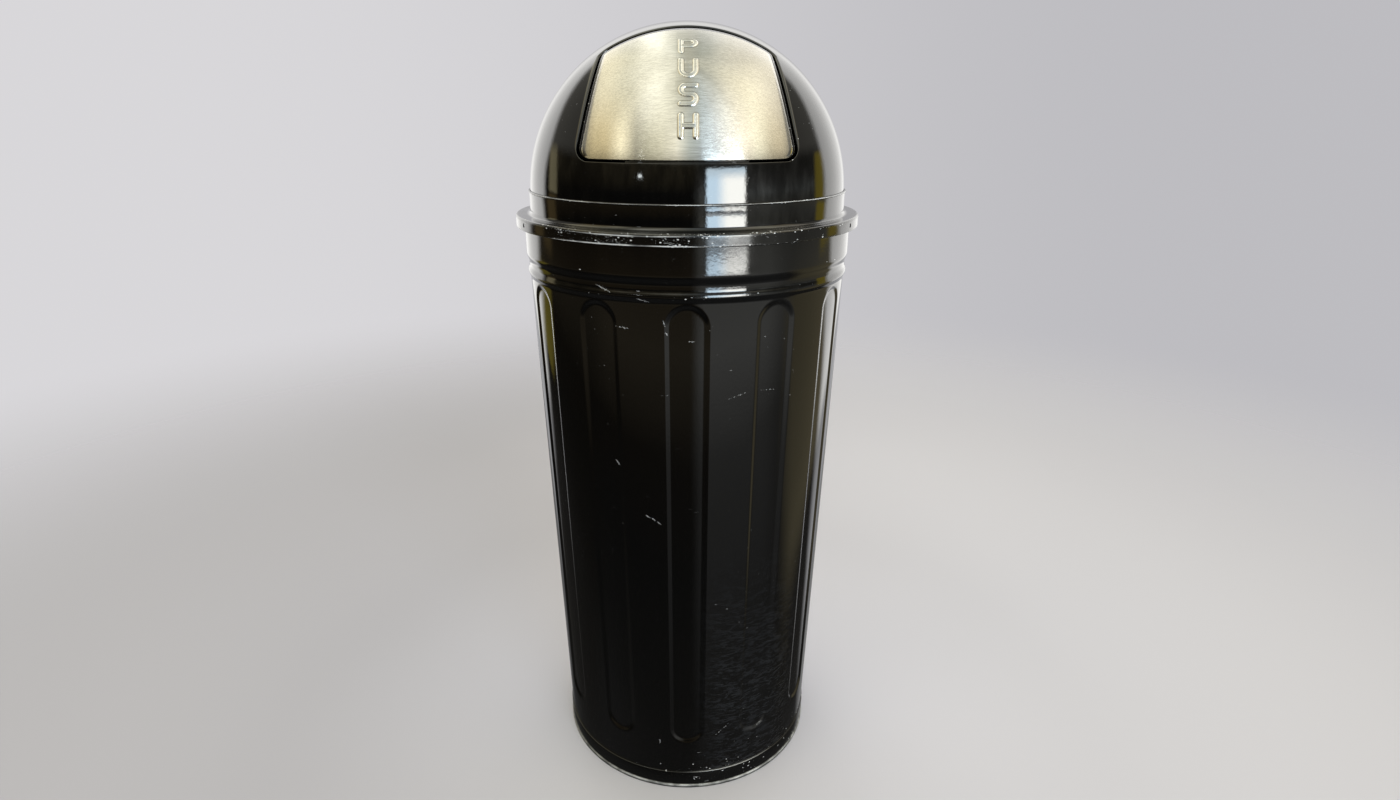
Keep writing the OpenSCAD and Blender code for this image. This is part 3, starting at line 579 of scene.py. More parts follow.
def soft_black(name, tone, gloss, dirty):
    """Dark moulded plastic or rubber: fine pebbled skin, pale rubbed dirt and dust."""
    finish, tree, shader, place = new_finish(name)
    skin = noise(tree, place, 900.0, 2.0)
    rubbed = remap(tree, noise(tree, place, 45.0, 4.0, 0.65), 0.4, 0.72)
    dusted = use(tree, dust, {"Place": place, "Amount": 0.7})["Mask"]
    # A pale line where the piece carries a wear value: rubbed vinyl and a painted highlight.
    worn_and_highlight = times(tree, carried(tree, "wear"), remap(tree, noise(tree, place, 70.0, 3.0), 0.35, 0.6, 0.3, 1.0))
    colour = coats(tree, (tone, tone, tone), (rubbed, dirty, FLOOR_DIRT), (dusted, 1, PALE_DUST),
                   (worn_and_highlight, 1, RUBBED_PALE_AND_HIGHLIGHT))
    rough = add_up(tree, gloss, (rubbed, 0.2))
    join(tree, shader, Base_Color=colour, Roughness=rough, Normal=relief(tree, skin, 0.00006))
    return finish


vinyl = soft_black("vinyl", 0.012, 0.42, 0.55)
rubber = soft_black("rubber", 0.016, 0.55, 0.3)
print("soft blacks made")

# %% [markdown]
# ## The bin's wall
# The wall is one rolled sheet. It widens upwards, and twelve round-ended flutes are pressed into it to stiffen it.
# Near the top it is swaged into a bead and a groove, steps out to a wide band, and rolls outward round a wire. It
# could be a plain revolved profile with the flutes cut out of it, but a pressed flute has soft shoulders that
# catch the light, so the radius is worked out at every point of one closed grid.

# %% The wall's numbers
FOOT_R, TAPER, SHEET = 165.4, 0.0339, 1.0
TAPER_TOP, BEAD_RISE, BEAD_OUT, BEAD_HALF = 638.0, 8.5, 1.6, 7.0
GROOVE_LOW, GROOVE_HIGH, BAND_R, RIM_Z = 657.0, 668.0, 190.528, 706.1
GROOVE_R = FOOT_R + TAPER * TAPER_TOP + 0.9
ROLL_X, ROLL_R, EDGE_Z = 193.328, 3.4, 2.6
FLUTES, FLUTE_ANGLE, FLUTE_DEPTH, FLUTE_LOW, FLUTE_TOP = 12, 6.4, 1.8, 75.0, 636.0
FLUTE_STEP = 360 / FLUTES
SEAM_ANGLE, SEAM_W, SEAM_RISE = 195.0, 8.0, 1.0
HOOP_TOP = 25.0  # the hoop round the foot ends here, and the seam shows from a little above it


def taper_r(z):
    """Outer radius of the straight taper: the foot's radius plus the slope times the height."""
    return FOOT_R + TAPER * z


def wall_r(z):
    """Outer radius at a height: the taper, then a rise to the groove, a bead, and a step to the band."""
    top = taper_r(TAPER_TOP)
    rings = (top + (GROOVE_R - top) * ease((z - TAPER_TOP) / BEAD_RISE)
             + BEAD_OUT * bump(z - TAPER_TOP - BEAD_RISE, BEAD_HALF)
             + (BAND_R - GROOVE_R) * ease((z - GROOVE_LOW) / (GROOVE_HIGH - GROOVE_LOW)))
    return np.where(z < TAPER_TOP, taper_r(z), rings)


print("wall radius at the foot and the band", float(wall_r(0.0)), float(wall_r(700.0)))


# %% Flutes and seam as depths on the wall
def flute_press(angle, z, shoulder=3.0):
    """0 outside a flute and 1 on its floor, smooth across the shoulder. A flute's outline is two circles, low and
    high, with straight sides between them, and the shoulder follows the distance from it."""
    off = (angle + FLUTE_STEP / 2) % FLUTE_STEP - FLUTE_STEP / 2
    x = np.abs(taper_r(z) * np.sin(np.radians(off)))
    low_r, high_r = (taper_r(h) * math.sin(math.radians(FLUTE_ANGLE)) for h in (FLUTE_LOW, FLUTE_TOP))
    low_z, high_z = FLUTE_LOW + low_r, FLUTE_TOP - high_r
    share = np.clip((z - low_z) / (high_z - low_z), 0, 1)
    near = low_z + share * (high_z - low_z)
    outside = np.hypot(x, z - near) - (low_r + share * (high_r - low_r))
    return ease(0.5 - outside / (2 * shoulder))


def seam_rise(angle, z):
    """Height of the folded seam: a flat strip with soft edges, from the hoop to the end of the taper."""
    across = np.abs(taper_r(z) * np.sin(np.radians(angle - SEAM_ANGLE)))
    across = np.where(np.cos(np.radians(angle - SEAM_ANGLE)) > 0, across, FAR)
    ends = ease((z - HOOP_TOP - 1) / 1.5) * ease((TAPER_TOP - z) / 3)
    return SEAM_RISE * ease((SEAM_W / 2 - across) / 0.7) * ends


print("press on a flute's middle and between two", [float(flute_press(a, 300.0)) for a in (0, FLUTE_STEP / 2)])

# %% The wall's columns and rows
half = np.array([0.9, 1.8, 2.7, 3.6, 4.4, 5.0, 5.35, 5.7, 6.05, 6.4, 6.75, 7.1, 7.45, 7.8, 8.3, 9.5, 11.5, 13.3])
one = np.concatenate([-half[::-1], [0.0], half, [FLUTE_STEP / 2]])
seam_half = np.array([0.7, 1.1, 1.31, 1.6])
seam_columns = SEAM_ANGLE + np.concatenate([-seam_half[::-1], seam_half])
wall_angles = np.sort(np.concatenate([(np.arange(FLUTES)[:, None] * FLUTE_STEP + one).ravel() % 360, seam_columns]))
outer_z = np.concatenate([[EDGE_Z, 3.2, 15, 30, 50, 66], np.arange(71, 102, 1.6), np.linspace(104, 603, 20),
                          np.arange(606, 640, 1.35), np.arange(640, 669.5, 0.95), [672, 680, 692, 701, 703.2]])
inner_z = np.concatenate([[705, 700, 690, 680, 670], np.arange(668, 639, -2.2), np.arange(638, 604, -2.2),
                          np.linspace(602, 104, 11), np.arange(101, 70, -2.8), [50, 30, 10, EDGE_Z]])
curl_in = arc(ROLL_X, RIM_Z, ROLL_R - SHEET, 180, -132, 15)
curl_out = arc(ROLL_X, RIM_Z, ROLL_R, -135, 180, 22)
rows_z = np.concatenate([outer_z, curl_in[:, 1], curl_out[:, 1], inner_z])
rows_r = np.concatenate([wall_r(outer_z), curl_in[:, 0], curl_out[:, 0], wall_r(inner_z) - SHEET])
print(len(wall_angles), "columns and", len(rows_z), "rows")

# %% The wall
side_of = np.concatenate([np.ones(len(outer_z)), np.zeros(len(curl_in) + len(curl_out)), -np.ones(len(inner_z))])
A, Z = np.meshgrid(wall_angles, rows_z)
S = np.broadcast_to(side_of[:, None], A.shape)
pressed = FLUTE_DEPTH * flute_press(A, Z) * (S != 0)
R = rows_r[:, None] - pressed + seam_rise(A, Z) * (S > 0)
wall_points = about_axis(R, A, Z)
shoulder_wear = 0.12 * bump(flute_press(A, Z) - 0.1, 0.12) * (Z < TAPER_TOP)
bead_wear, step_wear = 0.55 * bump(Z - TAPER_TOP - BEAD_RISE, 6), 0.35 * bump(Z - GROOVE_HIGH - 1, 4)
wall_wear = (S > 0) * (bead_wear + step_wear + 0.25 * (Z > GROOVE_HIGH + 4) + shoulder_wear
                       + 0.5 * bump(Z - HOOP_TOP - 1, 42)) + (S == 0) * 0.8
print("wall points", wall_points.shape)


# %% Scratches to see on the wall
def on_wall(x, z):
    """The point of the wall's front face at that x and height, in a flute if one is there: y = -sqrt(r^2 - x^2)."""
    r = float(taper_r(z)) if z < TAPER_TOP else float(wall_r(np.array(z)))
    r -= FLUTE_DEPTH * float(flute_press(math.degrees(math.asin(x / r)), z))
    return (x, -math.sqrt(r * r - x * x), z)


WALL_MARKS = [  # from x and height, to x and height, width
    (-93, 655, -78, 649, 1.3), (-50, 644, -38, 641, 0.9), (-73, 613, -60, 612, 1.1), (-24, 622, -22, 616, 0.9),
    (-22, 610, -20, 606, 1.0), (2, 600, 8, 600, 0.8), (26, 616, 82, 600, 0.5), (44, 536, 62, 541, 0.6),
    (78, 541, 94, 539, 0.6), (-46, 396, -41, 393, 1.0), (-39, 393, -35, 390, 1.0), (-33, 389, -29, 386, 1.1),
    (-78, 458, -73, 452, 1.3), (-34, 75, -34, 69, 1.5), (36, 82, 52, 96, 0.5), (60, 64, 98, 92, 0.4),
    (64, 52, 66, 52, 1.2), (78, 60, 79, 61, 1.3), (90, 57, 91, 57, 1.2),
]
wall_marks = [(on_wall(x0, z0), on_wall(x1, z1), width) for x0, z0, x1, z1, width in WALL_MARKS]
enamel_body = black_enamel("black_enamel_body", wall_marks, wear=0.55, dusty=0.3, density=0.3, rippled=0.5)
make_piece("body_wall", "bin", wall_points, grid_faces(len(rows_z), len(wall_angles), rows_close=True),
           finish=enamel_body, slot="black_enamel", stands_for=["body_shell"], sharp=50, wear=wall_wear)

# %% [markdown]
# ## Rings and pans
# The base hoop, the vinyl floor ring, the pan that closes the bottom and the liner are all round. Each is a closed
# outline of radius and height, softened at its corners as bent sheet is, and turned about the axis.

# %% Turning an outline
def turn_outline(outline, count=240):
    """Points of a closed outline of radius and height, turned about the axis in equal steps."""
    return about_axis(outline[:, :1], np.arange(count) * 360 / count, outline[:, 1:])


def make_ring(name, body, outline, count=240, **look):
    """A ring: the turned outline, closed both ways."""
    return make_piece(name, body, turn_outline(outline, count), grid_faces(len(outline), count, rows_close=True),
                      **look)


def make_disc(name, body, line, count=240, **look):
    """A dish: a line of radius and height from the axis round and back to the axis, with a point at each end."""
    points = turn_outline(line[1:-1], count).reshape(-1, 3)
    points = np.concatenate([points, [[0, 0, line[0][1]], [0, 0, line[-1][1]]]])
    rows = len(line) - 2
    return make_piece(name, body, points, grid_faces(rows, count), end_fans(rows, count), **look)


print("a ring of 4 corners in 8 steps has", turn_outline(np.ones((4, 2)), 8).shape[:2], "points")

# %% Base hoop and floor ring
GUARD_H, HOOP_T = 5.0, 1.3
CLEAR = 0.1  # between the wall and what lies on it
low, high = taper_r(GUARD_H) + CLEAR, taper_r(HOOP_TOP) + CLEAR
hoop = soften([[low, GUARD_H + CLEAR], [low + HOOP_T, GUARD_H + CLEAR], [high + HOOP_T, HOOP_TOP],
               [high, HOOP_TOP]], [0.3, 0.5, 0.6, 0.2], 5)
enamel_hoop = black_enamel("black_enamel_hoop", wear=0.3, dusty=0.5, density=0.4, grain=420.0)
FINE_TURN = 300  # columns of the rings that are seen closest
off_front = (np.arange(FINE_TURN) * 360 / FINE_TURN + 160) % 360 - 180  # degrees from a place right of the front
# Pale lines along the hoop's top and lower edges, strongest right of the front: worn paint and painted highlight.
hoop_wear = (bump(hoop[:, 1] - HOOP_TOP, 2.2)[:, None] * (0.7 + 0.25 * bump(off_front, 60))
             + 0.95 * bump(hoop[:, 1] - GUARD_H, 2.2)[:, None]).ravel()
make_ring("base_hoop_ring", "bin", hoop, FINE_TURN, finish=enamel_hoop, slot="black_enamel",
          stands_for=["base_hoop"], wear=hoop_wear)
lip = 2.2
edge_out, edge_in = taper_r(GUARD_H) + CLEAR, taper_r(EDGE_Z) - lip
guard = np.concatenate([
    soften([[edge_in - lip, 0], [edge_out + lip, 0], [edge_out + lip, GUARD_H], [edge_out, GUARD_H]],
           [0.8, 1.5, 1.1, 0.0001], 6),
    [[edge_out, EDGE_Z - CLEAR], [edge_in, EDGE_Z - CLEAR]],
    soften([[edge_in, GUARD_H], [edge_in - lip, GUARD_H], [edge_in - lip, 2]], [0.0001, 0.8, 0.0001], 6)[:12]])
# The floor ring's shoulder gets a pale line, strongest right of the front: rubbed vinyl and painted highlight.
guard_wear = ((guard[:, 0] > edge_out + 0.6) * bump(guard[:, 1] - 4.3, 1.6))[:, None] * (
    0.45 + 0.55 * bump(off_front, 100))
make_ring("floor_guard_ring", "bin", guard, FINE_TURN, finish=vinyl, slot="vinyl", stands_for=["floor_guard"],
          wear=guard_wear.ravel())

# %% Bottom pan
PAN_Z, PAN_DISH, DISH_R = 14.0, 3.0, 124.0
FIT = SHEET + CLEAR  # from a wall's outer face to what fits in it
skirt_low, skirt_high = taper_r(EDGE_Z) - FIT, taper_r(PAN_Z) - FIT


def two_sided(line, t):
    """A dish's outline from its upper line: along it, then back along a line that is t lower or further in."""
    line = np.asarray(line, float)
    step = np.gradient(line, axis=0)
    side = np.stack([step[:, 1], -step[:, 0]], -1) / np.linalg.norm(step, axis=1, keepdims=True)
    back = line + side * t
    back[0, 0] = 0
    return np.concatenate([line, back[::-1]])


def bend(points, cut, steps=6):
    """An open line with each inner corner softened by the same curve as soften()."""
    middle = soften(points, np.r_[0.001, np.full(len(points) - 2, cut), 0.001], steps)
    return middle[steps - 1:-(steps - 1)]


pan_line = bend([[0, PAN_Z - PAN_DISH], [DISH_R, PAN_Z - PAN_DISH], [DISH_R + PAN_DISH, PAN_Z],
                 [skirt_high, PAN_Z], [skirt_low, EDGE_Z]], 1.4)
enamel_pan = black_enamel("black_enamel_pan", wear=0.4, dusty=1.0, density=0.6)
make_disc("bottom_pan_dish", "bin", two_sided(pan_line, SHEET), finish=enamel_pan, slot="black_enamel",
          stands_for=["bottom_pan"])

# %% [markdown]
# ## The liner
# The liner is zinc coated sheet: a cone that is rolled over a wire at the top, with a pressed bottom. Its sides
# stand clear of the bin's flutes. The wall is the same idea as the bin's, without flutes, so one outline does it.

# %% Liner wall and bottom
LINER_INSET, LINER_LOW, LINER_RIM, LINER_ROLL = 7.4, 14.3, 686.0, 3.0
LINER_X = taper_r(LINER_RIM) - LINER_INSET - SHEET + LINER_ROLL + 0.4


def liner_r(z):
    """Outer radius of the liner: the bin's taper less the clearance."""
    return taper_r(z) - LINER_INSET


up = np.linspace(LINER_LOW, LINER_RIM - 3, 12)
liner_outline = np.concatenate([
    np.stack([liner_r(up), up], -1),
    arc(LINER_X, LINER_RIM, LINER_ROLL - SHEET, 180, -128, 14), arc(LINER_X, LINER_RIM, LINER_ROLL, -132, 180, 20),
    np.stack([liner_r(up[::-1]) - SHEET, up[::-1]], -1)])
make_ring("liner_sheet", "liner", liner_outline, FINE_TURN, finish=zinc, slot="galvanised",
          stands_for=["liner_wall"])
liner_top = LINER_LOW + 6
inner_low, inner_high = liner_r(LINER_LOW) - FIT, liner_r(liner_top) - FIT
liner_line = bend([[0, liner_top], [inner_high, liner_top], [inner_low, LINER_LOW]], 2.0)
make_disc("liner_base", "liner", two_sided(liner_line, SHEET), finish=zinc, slot="galvanised",
          stands_for=["liner_bottom"])

# %% [markdown]
# ## Bent wire: handles and springs
# A wire is a circle carried along a path. Its frame at each point is the tangent T, a given side vector N and
# T x N. The handles are one rounded rectangle of wire each, closed through the ear's barrel. The springs are a
# helix about the hinge axis with two straight legs, whose side vector points away from the axis.

# %% Wire along a path
def wire(path, side, radius, sides=14, closed=False):
    """Points and faces of a round wire: each path point plus r (N cos a + B sin a)."""
    ahead = np.roll(path, -1, 0) - np.roll(path, 1, 0) if closed else np.gradient(path, axis=0)
    ahead = ahead / np.linalg.norm(ahead, axis=1, keepdims=True)
    side = side - ahead * np.einsum("ij,ij->i", side, ahead)[:, None]
    side = side / np.linalg.norm(side, axis=1, keepdims=True)
    other = np.cross(ahead, side)
    a = np.arange(sides) * 2 * np.pi / sides
    ring = side[:, None] * np.cos(a)[None, :, None] + other[:, None] * np.sin(a)[None, :, None]
    points = (path[:, None] + radius * ring).reshape(-1, 3)
    faces = grid_faces(len(path), sides, rows_close=closed)
    if closed:
        return points, faces, None
    return np.concatenate([points, path[:1], path[-1:]]), faces, end_fans(len(path), sides)


print("wire helper ready")

# %% Drop handles
HANDLE_X, HANDLE_Z, HANDLE_H, HANDLE_W, WIRE_R = 170.143, 652.0, 42.0, 62.0, 3.0
corners = np.array([[-HANDLE_W / 2, 0], [HANDLE_W / 2, 0], [HANDLE_W / 2, -HANDLE_H], [-HANDLE_W / 2, -HANDLE_H]])
loop = soften(corners, 8.5, 9)
dense = np.concatenate([np.linspace(loop[k], loop[(k + 1) % len(loop)], 3, endpoint=False) for k in range(len(loop))])
for label, sign in (("left", -1), ("right", 1)):
    path = np.stack([np.full(len(dense), sign * HANDLE_X), dense[:, 0], HANDLE_Z + dense[:, 1]], -1)
    points, faces, _ = wire(path, np.tile([1.0, 0, 0], (len(path), 1)), WIRE_R, 16, closed=True)
    make_piece(f"handle_wire_{label}", f"handle_{label}", points, faces, finish=plate, slot="plated_steel",
               stands_for=[f"liner_handle_{label}"])

# %% Torsion springs
HINGE_Y, HINGE_Z, COIL_R, SPRING_R, TURNS = -72.0, 867.965, 5.2, 0.7, 6
BRACKET_X, LUG_X, PLATE_T = 76.0, 55.0, 2.0
SIDE_ROOM = 0.6  # between the coil's ends and the plates beside them
pitch = (BRACKET_X - LUG_X - PLATE_T - 2 * SIDE_ROOM - 2 * SPRING_R) / TURNS
turn = np.linspace(0, 1, 24 * TURNS + 1)
coil = -np.pi / 2 - 2 * np.pi * TURNS * turn
LEG_OUT, LEG_IN = 9, 11  # lengths of the coil's legs, at the bracket and at the lug
leg = np.linspace(1, 0, 8, endpoint=False)[:, None]
for label, sign in (("left", -1), ("right", 1)):
    start = BRACKET_X - PLATE_T / 2 - SIDE_ROOM - SPRING_R
    round_part = np.stack([start - pitch * TURNS * turn, HINGE_Y + COIL_R * np.cos(coil),
                           HINGE_Z + COIL_R * np.sin(coil)], -1)
    tangents = np.stack([np.zeros_like(coil), np.sin(coil), -np.cos(coil)], -1)
    path = np.concatenate([round_part[0] - LEG_OUT * leg * tangents[0], round_part,
                           round_part[-1] + LEG_IN * leg[::-1] * tangents[-1]])
    away = np.stack([np.zeros_like(coil), np.cos(coil), np.sin(coil)], -1)
    away = np.concatenate([np.tile(away[0], (len(leg), 1)), away, np.tile(away[-1], (len(leg), 1))])
    path[:, 0] *= sign
    points, faces, ends = wire(path, away, SPRING_R, 10)
    make_piece(f"torsion_spring_{label}", "lid", points, faces, ends, finish=plate, slot="plated_steel",
               stands_for=[f"door_spring_{label}"])

# %% [markdown]
# ## The dome and its doorway
# The dome is a spun half ball with a doorway cut in its front. The doorway's outline is where two straight-sided
# columns cross the ball: one seen from the front, with leaning sides and round lower corners, and one seen from
# above, with a straight upper edge. A boolean would leave long thin faces. Here rays run over the ball from the
# doorway's middle, each starts where the signed distance to the outline reaches zero, and the edge is rolled in.

# %% The ball and the doorway's outline
DOME_R, DOME_Z, DOME_TUCK = 182.028, 733.5, 17.5
OPEN_LOW_Z, OPEN_HALF, OPEN_TOP_HALF, OPEN_BACK, LEAN, SLOPE = 774.5, 114.0, 92.0, 60.0, 12.0, 0.27
PANEL_R = DOME_R - 0.8
FACE_R = PANEL_R + 1.0


def rounded_corner(p, q, to_p, to_q, a, b, r, centre_p, centre_q):
    """Distance outside two straight edges a and b whose corner is an arc of radius r about the centre."""
    dp, dq = p - centre_p, q - centre_q
    in_wedge = (dp * to_p[1] - dq * to_p[0] >= 0) & (dp * to_q[1] - dq * to_q[0] <= 0)
    return np.where(in_wedge, np.hypot(dp, dq) - r, np.maximum(a, b))


def doorway(points, side, low, back, corner):
    """Signed distance outside a door-shaped outline that is smaller than the doorway by side, low and back."""
    x, y, z = np.abs(points[..., 0]), points[..., 1], points[..., 2]
    lean = math.radians(LEAN)
    half = OPEN_HALF - side / math.cos(lean) - math.tan(lean) * low
    base = OPEN_LOW_Z + low
    a = base - z
    b = (x - half + math.tan(lean) * (z - base)) * math.cos(lean)
    front = rounded_corner(x, z, (math.cos(lean), math.sin(lean)), (0.0, -1.0), a, b, corner,
                           half - math.tan(lean) * corner - corner / math.cos(lean), base + corner)
    tilt = math.atan(SLOPE)
    edge, half = OPEN_BACK + back, OPEN_TOP_HALF - side + SLOPE * back
    a = edge + y
    b = (x - half - SLOPE * (-y - edge)) * math.cos(tilt)
    plan = rounded_corner(x, -y, (math.cos(tilt), -math.sin(tilt)), (0.0, -1.0), a, b, corner,
                          half + SLOPE * corner - corner / math.cos(tilt), edge + corner)
    return np.maximum(front, plan)


DOORWAY = (0.0, 0.0, 0.0, 12.0)  # the full outline, with its corner radius
front_low = np.array([0, -DOME_R, OPEN_LOW_Z])
print("signed distance at the doorway's lower edge", round(float(doorway(front_low, *DOORWAY)), 6))

# %% Rays over the ball
RAYS = 400
MID = math.radians(42)  # how far up the doorway's middle lies
middle = np.array([0, -math.cos(MID), math.sin(MID)])
ray_angle = np.arange(RAYS) * 2 * np.pi / RAYS
ray_dir = (np.cos(ray_angle)[:, None] * np.array([1.0, 0, 0])
           + np.sin(ray_angle)[:, None] * np.array([0, math.sin(MID), math.cos(MID)]))


def on_ball(s, radius):
    """A point per ray: the ball's centre plus radius times (middle cos s + direction sin s)."""
    s = np.asarray(s)[..., None]
    radius = np.asarray(radius)[..., None] if np.ndim(radius) else radius
    return np.array([0, 0, DOME_Z]) + radius * (middle * np.cos(s) + ray_dir * np.sin(s))


def where_distance(level, outline, radius=DOME_R):
    """For each ray the angle s at which the signed distance to the outline equals the level, by halving."""
    level = np.broadcast_to(level, np.broadcast_shapes(np.shape(level), (RAYS,)))
    lower, upper = np.zeros(level.shape), np.full(level.shape, math.radians(75))
    for _ in range(44):
        guess = (lower + upper) / 2
        inside = doorway(on_ball(guess, radius), *outline) < level
        lower, upper = np.where(inside, guess, lower), np.where(inside, upper, guess)
    return (lower + upper) / 2


def where_height(z, radius):
    """For each ray the angle s at which it comes down to height z: A cos(s - d) = z, solved for s."""
    a = np.hypot(middle[2], ray_dir[:, 2])
    return np.arctan2(ray_dir[:, 2], middle[2]) + np.arccos((z - DOME_Z) / radius / a)


edge_z = on_ball(where_distance(0.0, DOORWAY), DOME_R)[:, 2]
print("the doorway runs from z", edge_z.min().round(1), "to", edge_z.max().round(1))

# %% The doorway's rolled edge
LIP_FROM, LIP_RISE = OPEN_LOW_Z + 8, 14  # the lip begins at this height and is full after this rise
rolled = 0.02 + 0.98 * ease((edge_z - LIP_FROM) / LIP_RISE)  # nearly 0 along the plain lower edge, 1 at the full lip
fillet, depth = 0.45 + 1.55 * rolled, 1.05 + 5.95 * rolled
roll = np.radians(np.linspace(90, 180, 7))[:, None]
levels, drops = [], []
for turn_to in roll:
    levels.append(fillet * (1 + np.cos(turn_to)))
    drops.append(fillet * (1 - np.sin(turn_to)))
levels += [0 * depth, 0.15 * rolled, 0.5 * rolled + 0.2, SHEET + 0 * depth, SHEET + 0 * depth]
drops += [depth - 0.3 * rolled, depth, depth, depth - 0.3 * rolled, 1 + 1.05 * rolled]
for turn_to in roll[::-1][1:]:
    levels.append(SHEET + rolled * (1 + np.cos(turn_to)))
    drops.append(SHEET + rolled * (1 - np.sin(turn_to)))
levels, drops = np.array(levels), np.array(drops)
edge_s = where_distance(levels, DOORWAY)
print("the rolled edge has", len(edge_s), "rows, up to", round(float(drops.max()), 2), "deep")

# %% The dome
far_out = where_height(DOME_Z - DOME_TUCK, DOME_R)
far_in = where_height(DOME_Z - DOME_TUCK, DOME_R - SHEET)
share = (np.linspace(0, 1, 76) ** 1.25)[:, None]
outer = (far_out + (edge_s[0] - far_out) * (1 - share[::-1]))[:-1]
share_in = (np.linspace(0, 1, 40) ** 1.25)[1:, None]
inner = edge_s[-1] + (far_in - edge_s[-1]) * share_in
all_s = np.concatenate([outer, edge_s, inner])
all_r = np.concatenate([np.full(outer.shape, DOME_R), DOME_R - drops, np.full(inner.shape, DOME_R - SHEET)])
dome_points = on_ball(all_s, all_r)
dome_wear = np.zeros(all_s.shape)
dome_wear[len(outer):len(outer) + len(roll)] = 0.3
make_piece("dome_sheet", "lid", dome_points, grid_faces(len(all_s), RAYS, rows_close=True), finish=enamel_lid,
           slot="black_enamel", stands_for=["lid_dome"], sharp=45, wear=dome_wear)

# %% [markdown]
# ## The door
# The door is an enamelled panel with a lip bent inward all round, and a stainless face laid over it. The panel is
# made with the same rays, from the middle out to its edge, over the lip and back along the inside.

# %% Door panel
PANEL = (2.4, 2.5, 4.0, 10.0)
roll = np.radians(np.linspace(90, 0, 7))[:, None]
BEND_OUT, BEND_IN = 1.6, 0.6  # radii of the lip's bend, outside and inside
levels = np.concatenate([BEND_OUT * (np.cos(roll) - 1), [[0.0], [-0.2], [-0.8], [-SHEET], [-SHEET]],
                         -SHEET + BEND_IN * (np.cos(roll[::-1]) - 1)])
drops = np.concatenate([BEND_OUT * (1 - np.sin(roll)), [[7.6], [8.0], [8.0], [7.7], [2.2]],
                        SHEET + BEND_IN * (1 - np.sin(roll[::-1]))])
edge_s = where_distance(levels, PANEL)
share = np.linspace(0, 1, 26)[1:-1, None]
all_s = np.concatenate([edge_s[0] * share, edge_s, edge_s[-1] * share[::-1]])
all_r = np.concatenate([np.full((len(share), RAYS), PANEL_R), np.broadcast_to(PANEL_R - drops, edge_s.shape),
                        np.full((len(share), RAYS), PANEL_R - SHEET)])
points = on_ball(all_s, all_r).reshape(-1, 3)
poles = np.array([0, 0, DOME_Z]) + np.array([[PANEL_R], [PANEL_R - SHEET]]) * middle
points = np.concatenate([points, poles])
panel_wear = np.zeros(len(points))
panel_wear[len(share) * RAYS:(len(share) + 5) * RAYS] = 0.5
enamel_door = black_enamel("black_enamel_door", wear=0.8, dusty=0.5, density=0.5)
make_piece("door_inner_panel", "door", points, grid_faces(len(all_s), RAYS), end_fans(len(all_s), RAYS),
           finish=enamel_door, slot="black_enamel", stands_for=["door_panel"], sharp=45, wear=panel_wear)

# %% [markdown]
# ## The door's face and its word
# The stainless face follows the ball. Its lower edge is level and its upper edge straight, so its rows are cuts by
# planes that turn about one line, from level at the bottom to upright at the top. The word on such doors says only
# which way it opens, one letter over the other, pressed out of the sheet. The letters here are plain strokes: the
# height follows the distance from each stroke's centre line.

# %% Letters as strokes
def stroke(points):
    """Segments between neighbouring points, as rows of x0, y0, x1, y1."""
    points = np.asarray(points, float)
    pairs = np.concatenate([points[:-1], points[1:]], 1)
    return pairs[np.hypot(pairs[:, 2] - pairs[:, 0], pairs[:, 3] - pairs[:, 1]) > 0.01]


LETTER_W, LETTER_H = 14.6, 20.6  # between centre lines
w, h = LETTER_W / 2, LETTER_H / 2
bow = 5.4  # radius of the P's bow; those of the S are a quarter of its height, and lie 5.2 in from its sides
letter_p = [stroke([[-w, -h], [-w, h]]),
            stroke(np.concatenate([[[-w, h], [w - bow, h]], arc(w - bow, h - bow, bow, 90, -90, 11),
                                   [[-w, h - 2 * bow]]]))]
letter_u = [stroke(np.concatenate([[[-w, h]], arc(0, w - h, w, 180, 360, 15), [[w, h]]]))]
letter_s = [stroke(np.concatenate([[[w, h]], arc(5.2 - w, h / 2, h / 2, 90, 270, 12),
                                   arc(w - 5.2, -h / 2, h / 2, 90, -90, 12), [[-w, -h]]]))]
letter_h = [stroke([[-w, -h], [-w, h]]), stroke([[w, -h], [w, h]]), stroke([[-w, 0], [w, 0]])]
WORD = [(letter_p, 175.8), (letter_u, 142.4), (letter_s, 110.0), (letter_h, 77.2)]
WORD_X = 1.2
segments = np.concatenate([np.concatenate(strokes) + [WORD_X, at, WORD_X, at] for strokes, at in WORD])


def stroke_distance(x, y):
    """Distance from points to the nearest segment A..B: |P - A - t(B - A)|, with t clamped to 0..1."""
    best = np.full(x.shape, FAR)
    for x0, y0, x1, y1 in segments:
        dx, dy = x1 - x0, y1 - y0
        t = np.clip(((x - x0) * dx + (y - y0) * dy) / (dx * dx + dy * dy), 0, 1)
        best = np.minimum(best, np.hypot(x - x0 - t * dx, y - y0 - t * dy))
    return best


def word_height(x, y):
    """Height of the letters: full over the stroke, a shallow hollow down its middle, and smooth shoulders."""
    d = stroke_distance(x, y)
    return 0.85 * ease((3.0 - d) / 1.3) - 0.3 * ease((1.3 - d) / 1.3)


print(len(segments), "stroke segments")

